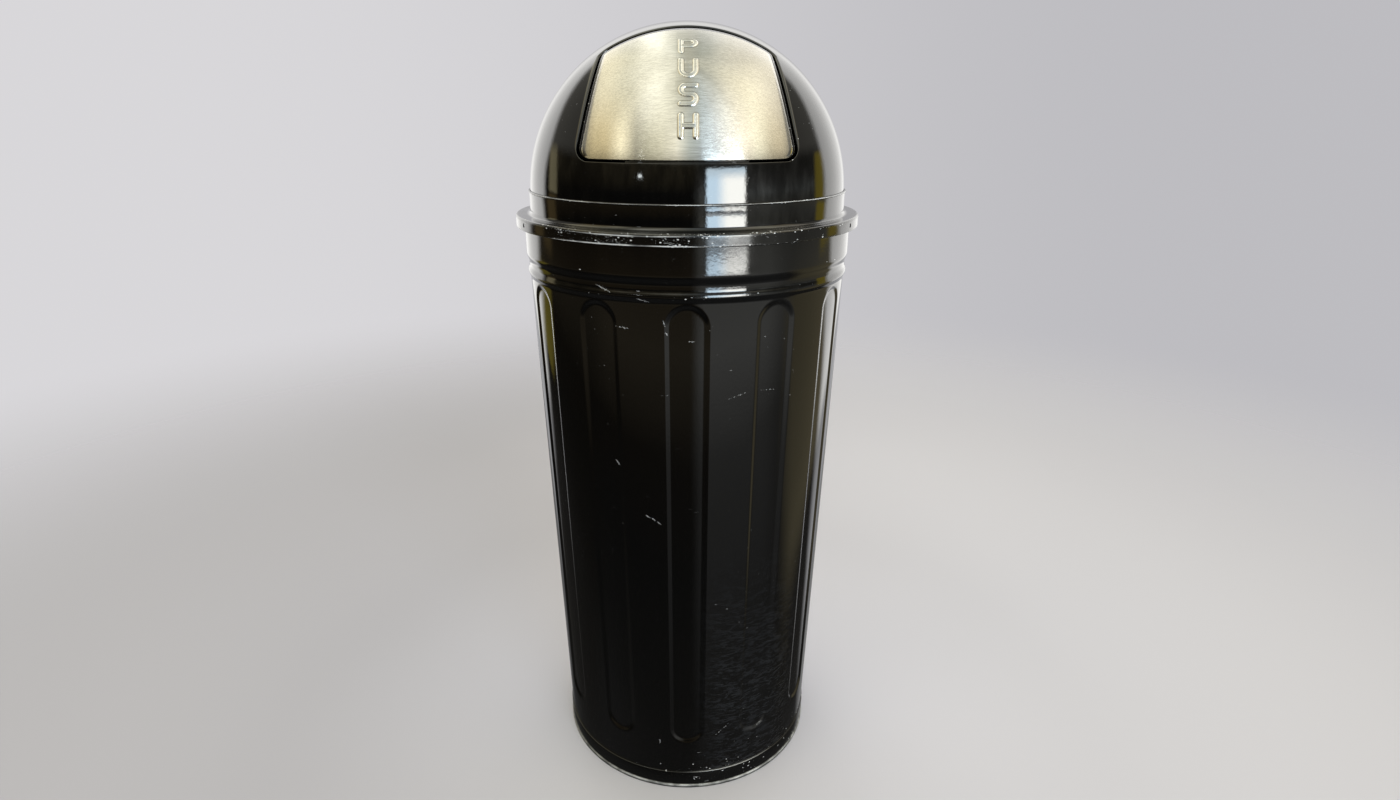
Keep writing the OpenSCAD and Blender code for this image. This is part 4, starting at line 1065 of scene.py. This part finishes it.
# %% Rows and columns of the face
FACE_SIDE, FACE_LOW, FACE_BACK, FACE_CORNER = 6.4, 2.5, 12.0, 9.0
low_b = math.asin((OPEN_LOW_Z + FACE_LOW - DOME_Z) / FACE_R)
high_b = math.acos((OPEN_BACK + FACE_BACK) / FACE_R)
span = (high_b - low_b) * FACE_R
near_edge = 11.0 * (1 - np.cos(np.linspace(0, np.pi / 2, 10)))  # rows lie closer together towards an edge
word_from, word_to = 62.0 - low_b * FACE_R, 190.5 - low_b * FACE_R  # and closest over the word
along = np.concatenate([near_edge, [14.0], np.arange(word_from, min(word_to, span - 12.0), 0.6),
                        span - near_edge[::-1]])
along = np.unique(along.round(4))
central = np.arange(WORD_X - 12.6, WORD_X + 12.61, 0.6)
outer_share = np.linspace(0, 1, 19)[1:] ** 0.8
print(len(along), "rows over", round(span, 1), "mm")


def face_grid(inset, radius, lettered=True):
    """The face's points at a distance in from its outline. Row k lies in the plane through the line y = top, z =
    bottom that meets the middle of the face at the row's place; its ends are where the outline is."""
    base, top = OPEN_LOW_Z + FACE_LOW + inset, -(OPEN_BACK + FACE_BACK) - inset
    b = low_b + along / FACE_R
    b = math.asin((base - DOME_Z) / radius) + (b - low_b) / (high_b - low_b) * (
        math.acos(-top / radius) - math.asin((base - DOME_Z) / radius))
    angle = np.arctan2(radius * np.sin(b) + DOME_Z - base, radius * np.cos(b) + top)[:, None]

    def at(x):
        """Where each row meets the ball at x: the root of d^2 + 2pd + q = 0, d along the plane from the line."""
        p = -top * np.cos(angle) + (base - DOME_Z) * np.sin(angle)
        q = top * top + (base - DOME_Z) ** 2 + x * x - radius * radius
        d = -p + np.sqrt(np.maximum(p * p - q, 0))
        return np.stack([x + 0 * d, top - d * np.cos(angle), base + d * np.sin(angle)], -1)

    outline = (FACE_SIDE + inset, FACE_LOW + inset, FACE_BACK + inset, FACE_CORNER - inset)
    lower, upper = np.full(angle.shape, 30.0), np.full(angle.shape, 118.0)
    for _ in range(40):
        guess = (lower + upper) / 2
        inside = doorway(at(guess), *outline) <= 1e-6
        lower, upper = np.where(inside, guess, lower), np.where(inside, upper, guess)
    half = lower
    left = central[0] + (-half - central[0]) * outer_share[::-1]
    right = central[-1] + (half - central[-1]) * outer_share
    x = np.concatenate([left, np.broadcast_to(central, (len(along), len(central))), right], 1)
    points = at(x)
    rel = points - [0, 0, DOME_Z]
    up = np.arctan2(rel[..., 2], np.hypot(rel[..., 0], rel[..., 1])) * FACE_R
    size = radius + (word_height(x, up) if lettered else 0)
    return np.array([0, 0, DOME_Z]) + rel / np.linalg.norm(rel, axis=-1, keepdims=True) * np.asarray(size)[..., None]


# %% The face
def rim_of(rows, cols):
    """Numbers of a grid's outer points, in order round it."""
    return np.concatenate([np.arange(cols), np.arange(1, rows) * cols + cols - 1,
                           (rows - 1) * cols + np.arange(cols - 2, -1, -1), np.arange(rows - 2, 0, -1) * cols])


front, rim_a, rim_b, back = (face_grid(0.35, FACE_R), face_grid(0.0, FACE_R - 0.35, False),
                             face_grid(0.0, FACE_R - 0.8, False), face_grid(0.1, FACE_R - 0.9))
rows, cols = front.shape[:2]
rim = rim_of(rows, cols)
count = rows * cols
points = np.concatenate([front.reshape(-1, 3), back.reshape(-1, 3), rim_a.reshape(-1, 3)[rim],
                         rim_b.reshape(-1, 3)[rim]])
plain = grid_faces(rows, cols, cols_close=False)
loops = [rim, 2 * count + np.arange(len(rim)), 2 * count + len(rim) + np.arange(len(rim)), count + rim]
bands = [np.stack([a, b, np.roll(b, -1), np.roll(a, -1)], -1) for a, b in zip(loops[:-1], loops[1:])]
quads = np.concatenate([plain, (plain + count)[:, ::-1]] + bands)
rel = points - [0, 0, DOME_Z]
from_stroke = stroke_distance(rel[:, 0], np.arctan2(rel[:, 2], np.hypot(rel[:, 0], rel[:, 1])) * FACE_R)
# The foot and crest values place the face's painted shade line and painted highlight beside each stroke.
make_piece("door_stainless_face", "door", points, quads, finish=stainless, slot="brushed_stainless",
           stands_for=["door_face"], sharp=40, foot=bump(from_stroke - 3.1, 0.7), crest=bump(from_stroke - 2.0, 0.9))

# %% [markdown]
# ## The collar
# The collar is spun from one sheet: a neck that grips the dome, with a small bead round its top, a flat flange
# that rests on the bin's rim, and a skirt that hangs outside it. Two small holes are punched in the skirt. The
# outline is turned as before, but round each hole the grid is warped: squares about the hole are drawn out to a
# circle, the faces inside it are left out, and its wall joins the skirt's two sides.

# %% Collar outline
FLANGE_TOP, FLANGE_R, COLLAR_IN, COLLAR_T = 711.0, 199.928, 182.128, 1.2
NECK_R, FILLET, FLANGE_EDGE, SKIRT_LOW = COLLAR_IN + COLLAR_T, 4.5, 2.6, 698.0
HOLE_R, HOLE_ANGLE, HOLE_Z, WINDOW = 2.4, 62.0, 704.5, 3.6
FLAT_R, LIP_Z, LIP_R = 193.0, DOME_Z + 2.3, 1.08  # a place on the flange's flat, and the bead round the neck's top
WIN = 9  # grid lines across the square window round a hole
skirt_z = np.concatenate([np.linspace(HOLE_Z + WINDOW, HOLE_Z - WINDOW, WIN), [699.2]])
outer_line = np.concatenate([
    [[COLLAR_IN + 0.25, DOME_Z + 3.5], [NECK_R - 0.2, DOME_Z + 3.45]],
    arc(NECK_R, LIP_Z, LIP_R, 70, -75, 9),
    [[NECK_R, DOME_Z - 4]], arc(NECK_R + FILLET, FLANGE_TOP + FILLET, FILLET, 180, 270, 10),
    [[FLAT_R, FLANGE_TOP]], arc(FLANGE_R - FLANGE_EDGE, FLANGE_TOP - FLANGE_EDGE, FLANGE_EDGE, 90, 4, 10),
    np.stack([np.full(WIN + 1, FLANGE_R), skirt_z], -1)])
bottom_line = arc(FLANGE_R - COLLAR_T / 2, SKIRT_LOW + COLLAR_T / 2, COLLAR_T / 2, 0, -180, 7)
inner_line = np.concatenate([
    np.stack([np.full(WIN + 1, FLANGE_R - COLLAR_T), skirt_z[::-1]], -1),
    arc(FLANGE_R - FLANGE_EDGE, FLANGE_TOP - FLANGE_EDGE, FLANGE_EDGE - COLLAR_T, 8, 90, 6),
    [[FLAT_R, FLANGE_TOP - COLLAR_T]],
    arc(NECK_R + FILLET, FLANGE_TOP + FILLET, FILLET + COLLAR_T, 270, 180, 8),
    [[COLLAR_IN, DOME_Z - 4], [COLLAR_IN, DOME_Z + 3.2]]])
collar_line = np.concatenate([outer_line, bottom_line, inner_line])
top_row = len(outer_line) - (WIN + 1)
low_row = len(outer_line) + len(bottom_line) + WIN
print(len(collar_line), "points round the collar's sheet")

# %% Collar columns, and the warp round the holes
window = math.degrees(WINDOW / FLANGE_R)
HOLES = (HOLE_ANGLE, 360 - HOLE_ANGLE)
plain_angles = np.arange(0, 360, 1.25)
for centre in HOLES:
    plain_angles = plain_angles[np.abs(plain_angles - centre) > window + 0.5]
    plain_angles = np.concatenate([plain_angles, np.linspace(centre - window, centre + window, WIN)])
collar_angles = np.sort(plain_angles)
cols = len(collar_angles)
A = np.broadcast_to(collar_angles, (len(collar_line), cols)).copy()
Z = np.broadcast_to(collar_line[:, 1][:, None], A.shape).copy()
keep = np.ones(len(collar_line) * cols, bool)
walls = []
number = np.arange(len(collar_line) * cols).reshape(A.shape)
# The hole's edge is the middle square of the window: its sides lie on the grid lines 2 and 6.
ring = np.concatenate([[(2, k) for k in range(2, 6)], [(k, 6) for k in range(2, 6)],
                       [(6, k) for k in range(6, 2, -1)], [(k, 2) for k in range(6, 2, -1)]])
for centre in HOLES:
    first = int(np.searchsorted(collar_angles, centre - window - 1e-6))
    sides = [np.arange(top_row, top_row + WIN), np.arange(low_row, low_row - WIN, -1)]
    for block in sides:
        a, b = np.meshgrid(np.linspace(1, -1, WIN), np.linspace(-1, 1, WIN), indexing="ij")
        m = np.maximum(np.abs(a), np.abs(b))
        blend = np.clip((m - 0.5) / 0.5, 0, 1)
        size = np.maximum(np.hypot(a, b), 1e-9)
        reach = HOLE_R / WINDOW * np.where(m < 0.5, m / 0.5, 1)
        new_a = (1 - blend) * reach * a / size + blend * a
        new_b = (1 - blend) * reach * b / size + blend * b
        place = np.ix_(block, np.arange(first, first + WIN))
        Z[place] = HOLE_Z + new_a * WINDOW
        A[place] = centre + new_b * window
        low_rows = block[2:6] if block[0] < block[-1] else block[3:7]
        keep[(low_rows[:, None] * cols + np.arange(first + 2, first + 6)).ravel()] = False
    loop_out, loop_in = (number[block[ring[:, 0]], first + ring[:, 1]] for block in sides)
    walls.append(np.stack([loop_out, loop_in, np.roll(loop_in, -1), np.roll(loop_out, -1)], -1))
print(int((~keep).sum()), "faces left out for the holes")

# %% The collar
quads = grid_faces(len(collar_line), cols, rows_close=True)[keep]
line_r, line_z = collar_line.T
# The bead and the flange's edge reach values near 1: pale bare lines that are worn paint and painted highlight. The
# skirt's scuffs are wear.
at_edge = bump(np.hypot(line_r - FLANGE_R, line_z - FLANGE_TOP), 5)
low_edge = bump(line_z - SKIRT_LOW, 3) * (line_r > FLANGE_R - 1)
skirt = ((line_r > FLANGE_R - 0.02) & (line_z < FLANGE_TOP - 2)) * 1.0
bead = bump(line_z - LIP_Z - 0.3, 1.5) * (line_r > NECK_R + 0.3)
rubbed = 0.25 + 0.5 * bump((collar_angles + 18 + 180) % 360 - 180, 34)  # most of it 18 degrees left of the front
collar_wear = np.clip(0.9 * at_edge + 0.7 * low_edge + bead, 0, 1)[:, None] + skirt[:, None] * rubbed[None, :]
collar_wear = np.clip(collar_wear, 0, 1).ravel()
enamel_collar = black_enamel("black_enamel_collar", wear=1.0, dusty=0.8, density=0.5, grain=520.0)
make_piece("collar_sheet", "lid", about_axis(collar_line[:, :1], A, Z), np.concatenate([quads] + walls),
           finish=enamel_collar, slot="black_enamel", stands_for=["lid_collar"], sharp=45, wear=collar_wear)

# %% [markdown]
# ## Small hardware
# The rivets have domed heads, so they are turned again. The brackets, lugs, rod, clips, ears, wires, stop and
# buttons are right as they are in the CAD, and only need their finish.

# %% Rivets
RIVET_R, HEAD_R, HEAD_H, RIVET_ANGLE = 2.0, 3.6, 1.6, 7.068
EAR_GAP, EAR_T = 0.3, 1.9  # from the liner's inside to the ear, and the ear's sheet with its clearance
ear_face = float(liner_r(HANDLE_Z)) - SHEET - EAR_GAP
near, far = ear_face - EAR_T, ear_face + SHEET + 2 * EAR_GAP
head = arc(0, 0, 1, 90, 0, 7) * [HEAD_R, HEAD_H]
line = np.concatenate([np.stack([near - head[:, 1], head[:, 0]], -1), [[near, RIVET_R], [far, RIVET_R]],
                       np.stack([far + head[::-1, 1], head[::-1, 0]], -1)])[1:-1]
SIDES = 20
spin = np.arange(SIDES) * 2 * np.pi / SIDES
body = np.stack(np.broadcast_arrays(line[:, :1], line[:, 1:] * np.cos(spin), HANDLE_Z + line[:, 1:] * np.sin(spin)),
                -1).reshape(-1, 3)
body = np.concatenate([body, [[near - HEAD_H, 0, HANDLE_Z], [far + HEAD_H, 0, HANDLE_Z]]])
quads, fans = grid_faces(len(line), SIDES), end_fans(len(line), SIDES)
all_points, all_quads, all_fans = [], [], []
for k, angle in enumerate(np.radians([-RIVET_ANGLE, RIVET_ANGLE, 180 - RIVET_ANGLE, 180 + RIVET_ANGLE])):
    c, s = math.cos(angle), math.sin(angle)
    all_points.append(body @ np.array([[c, s, 0], [-s, c, 0], [0, 0, 1]]))
    all_quads.append(quads + k * len(body))
    all_fans.append(fans + k * len(body))
make_piece("domed_rivets", "liner", np.concatenate(all_points), np.concatenate(all_quads), np.concatenate(all_fans),
           finish=plate, slot="plated_steel", stands_for=["liner_rivets"], sharp=60)

# %% Finishes for the CAD nodes
PLATED = ("rim_wire", "liner_rim_wire", "hinge_bracket_left", "hinge_bracket_right", "hinge_rod", "rod_clips",
          "hinge_lug_left", "hinge_lug_right")
FINISH_OF = dict.fromkeys(PLATED, plate) | {"liner_ear_left": zinc, "liner_ear_right": zinc,
                                            "door_stop": enamel_door, "door_bumpers": rubber}
for node_name, finish in FINISH_OF.items():
    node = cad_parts[node_name]
    node.data.materials.clear()
    node.data.materials.append(finish)
left_plain = [n for n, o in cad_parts.items() if not o.hide_render and n not in FINISH_OF]
print("nodes with a finish", len(FINISH_OF), "nodes left plain", left_plain)

# %% [markdown]
# ## The studio
# Gloss black shows hardly any colour of its own, only what stands round it. Pale surroundings behind and at the
# sides draw bright rims on the dome and the wall, and a dim space in front keeps the front black. The floor fades
# into the surroundings, so there is no horizon. Lamps could do this, but a gloss surface mirrors them as hard spots,
# so the world alone lights the scene, as soft panels do in a studio.

# %% World as seen on a ball
# A ball that is seen from the front shows the direction (x, y, z) at the place (x, z) / sqrt(2 (1 - y)) of its
# disc. The surroundings are laid out on that disc, because a place on it is a place on the dome.
world = bpy.data.worlds.new("studio")
bpy.context.scene.world = world
world.use_nodes = True
tree = world.node_tree
tree.nodes.clear()
way = tree.nodes.new("ShaderNodeTexCoord").outputs["Generated"]
x_y_z = add(tree, "SeparateXYZ", {0: way}).outputs
size = calc(tree, "SQRT", highest(tree, add_up(tree, 2.0, (x_y_z["Y"], -2.0)), 0.0001))
disc_x = calc(tree, "DIVIDE", x_y_z["X"], size)
disc_z = calc(tree, "DIVIDE", x_y_z["Z"], size)
off_middle = calc(tree, "ABSOLUTE", disc_x)


def between(tree, value, low, high, soft):
    """1 between two values and 0 outside, with soft edges."""
    return times(tree, remap(tree, value, low - soft, low + soft), remap(tree, value, high + soft, high - soft))


def panel(tree, x_from, x_to, z_from, z_to, soft):
    """1 inside a rectangle of the disc and 0 outside, with soft edges."""
    return times(tree, between(tree, disc_x, x_from, x_to, soft), between(tree, disc_z, z_from, z_to, soft))


def ramp(tree, value, low, high, shades):
    """Colours along a value: evenly spaced shades between low and high."""
    made = add(tree, "ValToRGB", {0: remap(tree, value, low, high, smooth=False)})
    stops = made.color_ramp.elements
    stops[0].color, stops[1].color = (*shades[0], 1), (*shades[-1], 1)
    for k, shade in enumerate(shades[1:-1], 1):
        stops.new(k / (len(shades) - 1)).color = (*shade, 1)
    return made.outputs[0]


print("world begun")

# %% Overhead: soft strips side by side, which the brushed face draws out into upright bands
STRIPS_FROM, STRIPS_TO = -0.469, 0.501  # the disc's x of the first and the last strip
higher = ramp(tree, disc_x, STRIPS_FROM, STRIPS_TO, [
    (1.5, 1.38, 1.0), (0.95, 0.94, 0.74), (0.68, 0.67, 0.52), (2.1, 2.08, 1.8), (1.9, 1.88, 1.6), (0.8, 0.8, 0.65),
    (0.62, 0.62, 0.52), (0.48, 0.52, 0.47), (0.75, 0.77, 0.68), (1.45, 1.37, 1.1), (1.35, 1.25, 0.93),
    (2.0, 1.9, 1.5), (1.3, 1.2, 1.0)])
lower = ramp(tree, disc_x, STRIPS_FROM, STRIPS_TO, [
    (0.95, 0.8, 0.47), (1.85, 1.7, 1.22), (0.62, 0.59, 0.46), (0.85, 0.82, 0.62), (1.15, 1.11, 0.86),
    (1.5, 1.46, 1.23), (0.82, 0.9, 0.86), (0.68, 0.77, 0.82), (0.85, 0.89, 0.92), (1.15, 1.15, 1.05),
    (1.9, 1.78, 1.5), (1.75, 1.68, 1.3), (1.0, 0.88, 0.62)])
strips = mix(tree, remap(tree, disc_z, 0.32, 0.62), lower, higher)
fall = times(tree, remap(tree, disc_z, 0.62, 0.78), remap(tree, disc_x, 0.14, 0.3))
strips = mix(tree, fall, strips, (1.0, 0.95, 0.8))
over = mix(tree, remap(tree, off_middle, 0.56, 0.63), strips, (0.27, 0.26, 0.23))
print("overhead done")

# %% Ahead: a dim space with faint upright streaks, darker on the left
DIM_LOW, DIM_HIGH = -0.45, 0.15  # the disc's z of the first and the last shade
dim_left = ramp(tree, disc_z, DIM_LOW, DIM_HIGH, [
    (0.05, 0.05, 0.05), (0.03, 0.03, 0.03), (0.02, 0.02, 0.02), (0.025, 0.02, 0.015), (0.14, 0.115, 0.075),
    (0.09, 0.065, 0.035), (0.008, 0.008, 0.008), (0.01, 0.01, 0.01), (0.06, 0.05, 0.03), (0.09, 0.075, 0.045)])
dim_right = ramp(tree, disc_z, DIM_LOW, DIM_HIGH, [
    (0.06, 0.06, 0.06), (0.07, 0.07, 0.07), (0.12, 0.12, 0.12), (0.17, 0.17, 0.165), (0.45, 0.45, 0.43),
    (0.4, 0.4, 0.37), (0.25, 0.25, 0.22), (0.36, 0.38, 0.37), (0.2, 0.2, 0.19), (0.12, 0.12, 0.11)])
ahead = mix(tree, remap(tree, disc_x, 0.02, 0.1), dim_left, dim_right)
ahead = mix(tree, remap(tree, off_middle, 0.45, 0.6), ahead, mix(tree, 0.5, ahead, (0.02, 0.017, 0.012)))
on_disc = add(tree, "CombineXYZ", {"X": disc_x, "Y": disc_z}).outputs[0]
streaks = noise(tree, turned(tree, on_disc, scale=(1, 0.2, 1)), 19.0, 4.0, 0.65)
streaky = calc(tree, "SUBTRACT", remap(tree, streaks, 0.38, 0.72, 0.75, 2.0), 1.0)
streaky = add_up(tree, 1.0, (streaky, remap(tree, disc_z, -0.12, -0.03)))
ahead = vector(tree, "SCALE", ahead, Scale=streaky)
print("dim space done")

# %% Small soft panels beside it, and one tall cool panel on its right
SIDE_PANELS = [  # x from and to, z from and to, softness, colour
    (0.6, 1.0, -0.45, -0.14, 0.05, (0.3, 0.26, 0.16)),
    (-0.84, -0.79, -0.04, 0.25, 0.012, (0.75, 0.66, 0.4)),
    (-0.865, -0.805, -0.36, -0.18, 0.012, (0.34, 0.28, 0.05)),
    (-0.84, -0.79, -0.14, -0.05, 0.012, (0.25, 0.18, 0.08)),
    (0.775, 0.835, -0.13, 0.2, 0.012, (0.62, 0.48, 0.07)),
]
for *where, shade in SIDE_PANELS:
    ahead = mix(tree, panel(tree, *where), ahead, shade)
around = mix(tree, remap(tree, disc_z, 0.17, 0.27), ahead, over)
cool = mix(tree, remap(tree, disc_x, 0.16, 0.25), (7.5, 9.6, 11.3), (14.0, 14.0, 13.3))
cool = coats(tree, cool, (remap(tree, disc_z, 0.085, 0.16), 1, (6.4, 7.8, 8.8)),
             (panel(tree, 0.0, 0.5, -0.08, -0.07, 0.003), 1, (3.2, 3.4, 3.5)),
             (panel(tree, 0.0, 0.5, -0.0905, -0.08, 0.002), 1, (0.6, 0.65, 0.7)))
around = coats(tree, around, (panel(tree, 0.112, 0.345, -0.105, 0.165, 0.012), 1, cool),
               (panel(tree, -0.29, -0.272, 0.107, 0.125, 0.004), 1, (14.0, 15.0, 15.0)))
print("world", len(tree.nodes), "nodes")

# %% Behind and all round: the pale backdrop
# Gloss shows the backdrop at its rims, as the camera sees it. A brighter edge of it stands at either side, and low
# down the rims show the floor where the bin shades it.
edge_at = calc(tree, "ADD", remap(tree, disc_z, -0.4, -0.05, 0.64, 0.45), remap(tree, disc_z, 0.2, 0.75, 0.0, 0.2))
edge_at = calc(tree, "ADD", edge_at, remap(tree, disc_x, 0.0, 0.2, 0.0, -0.1))
side_light = remap(tree, x_y_z["Y"], edge_at, calc(tree, "ADD", edge_at, 0.12))
side_tone = mix(tree, remap(tree, disc_z, -0.5, -0.42), (0.65, 0.65, 0.67), (1.85, 1.83, 1.79))
shaded = mix(tree, remap(tree, disc_x, 0.0, 0.2), (0.17, 0.17, 0.17), (0.3, 0.3, 0.3))
low_down = times(tree, remap(tree, disc_z, -0.62, -0.76), remap(tree, x_y_z["Y"], 0.97, 0.91))
around = mix(tree, side_light, around, mix(tree, low_down, side_tone, shaded))
clouds = noise(tree, way, 1.1, 1.0)
seen = mix(tree, remap(tree, add_up(tree, x_y_z["X"], (clouds, 0.3)), -0.4, 0.75), (0.69, 0.68, 0.7),
           (0.51, 0.505, 0.53))
around = mix(tree, remap(tree, x_y_z["Y"], 0.88, 0.99), around, mix(tree, low_down, seen, shaded))
is_camera = tree.nodes.new("ShaderNodeLightPath").outputs["Is Camera Ray"]
background = add(tree, "Background", {"Color": mix(tree, is_camera, around, seen), "Strength": 1.0})
tree.links.new(background.outputs[0], tree.nodes.new("ShaderNodeOutputWorld").inputs["Surface"])
print("world", len(tree.nodes), "nodes")

# %% Floor
FLOOR_COLS = 96
radii = np.array([0.15, 0.4, 0.8, 1.4, 2.2, 3.2, 5.0])  # metres
floor_points = about_axis(radii[:, None], np.arange(FLOOR_COLS) * 360 / FLOOR_COLS, 0.0).reshape(-1, 3)
floor_mesh = bpy.data.meshes.new("floor")
floor_faces = [tuple(f) for f in grid_faces(len(radii), FLOOR_COLS).tolist()] + [tuple(range(FLOOR_COLS - 1, -1, -1))]
floor_mesh.from_pydata(floor_points.tolist(), [], floor_faces)
floor = bpy.data.objects.new("floor", floor_mesh)
bpy.context.scene.collection.objects.link(floor)
print("floor", len(floor_mesh.polygons), "faces")

# %% Floor material
paper = bpy.data.materials.new("pale_floor")
paper.use_nodes = True
tree = paper.node_tree
tree.nodes.clear()
place = tree.nodes.new("ShaderNodeTexCoord").outputs["Object"]
x_y_z = add(tree, "SeparateXYZ", {0: place}).outputs
away = vector(tree, "LENGTH", place)
across = add_up(tree, x_y_z["X"], (noise(tree, place, 1.3, 2.0), 0.5))
tone = mix(tree, remap(tree, across, -0.4, 0.9), (0.465, 0.46, 0.52), (0.61, 0.605, 0.68))
# Near the bin the floor is made paler and far off darker: a painted pool of light that thins its shadow, and painted
# falloff.
painted_light_falloff = calc(tree, "ADD", remap(tree, away, 0.16, 0.6, 1.22, 1.0), remap(tree, away, 0.6, 1.5, 0.0, -0.1))
matt = add(tree, "BsdfDiffuse", {"Color": vector(tree, "SCALE", tone, Scale=painted_light_falloff)})
clear = add(tree, "BsdfTransparent")
is_glossy = tree.nodes.new("ShaderNodeLightPath").outputs["Is Glossy Ray"]
fade = highest(tree, remap(tree, away, 0.9, 2.6), is_glossy)
both = add(tree, "MixShader", {0: fade, 1: matt.outputs[0], 2: clear.outputs[0]})
tree.links.new(both.outputs[0], tree.nodes.new("ShaderNodeOutputMaterial").inputs["Surface"])
floor_mesh.materials.append(paper)
print("floor material", len(tree.nodes), "nodes")

# %% [markdown]
# ## The camera
# The camera is close, at the height of the door, and looks down nineteen degrees with a wide lens, which is why
# the foot looks so much smaller than the dome. Its small shift only places the bin in the frame.

# %% Camera
camera_data = bpy.data.cameras.new("camera")
camera = bpy.data.objects.new("camera", camera_data)
bpy.context.scene.collection.objects.link(camera)
camera_data.sensor_fit = "HORIZONTAL"
camera_data.sensor_width = 36.0
camera_data.lens = 20.155
camera_data.shift_x = 0.00929
camera_data.shift_y = -0.01429
camera.location = (0.0, -0.9493, 0.8219)
camera.rotation_euler = (math.radians(71.04), 0.0, 0.0)
bpy.context.scene.camera = camera
bpy.context.scene.view_settings.view_transform = "Standard"
print("camera height", round(camera.location.z, 3))
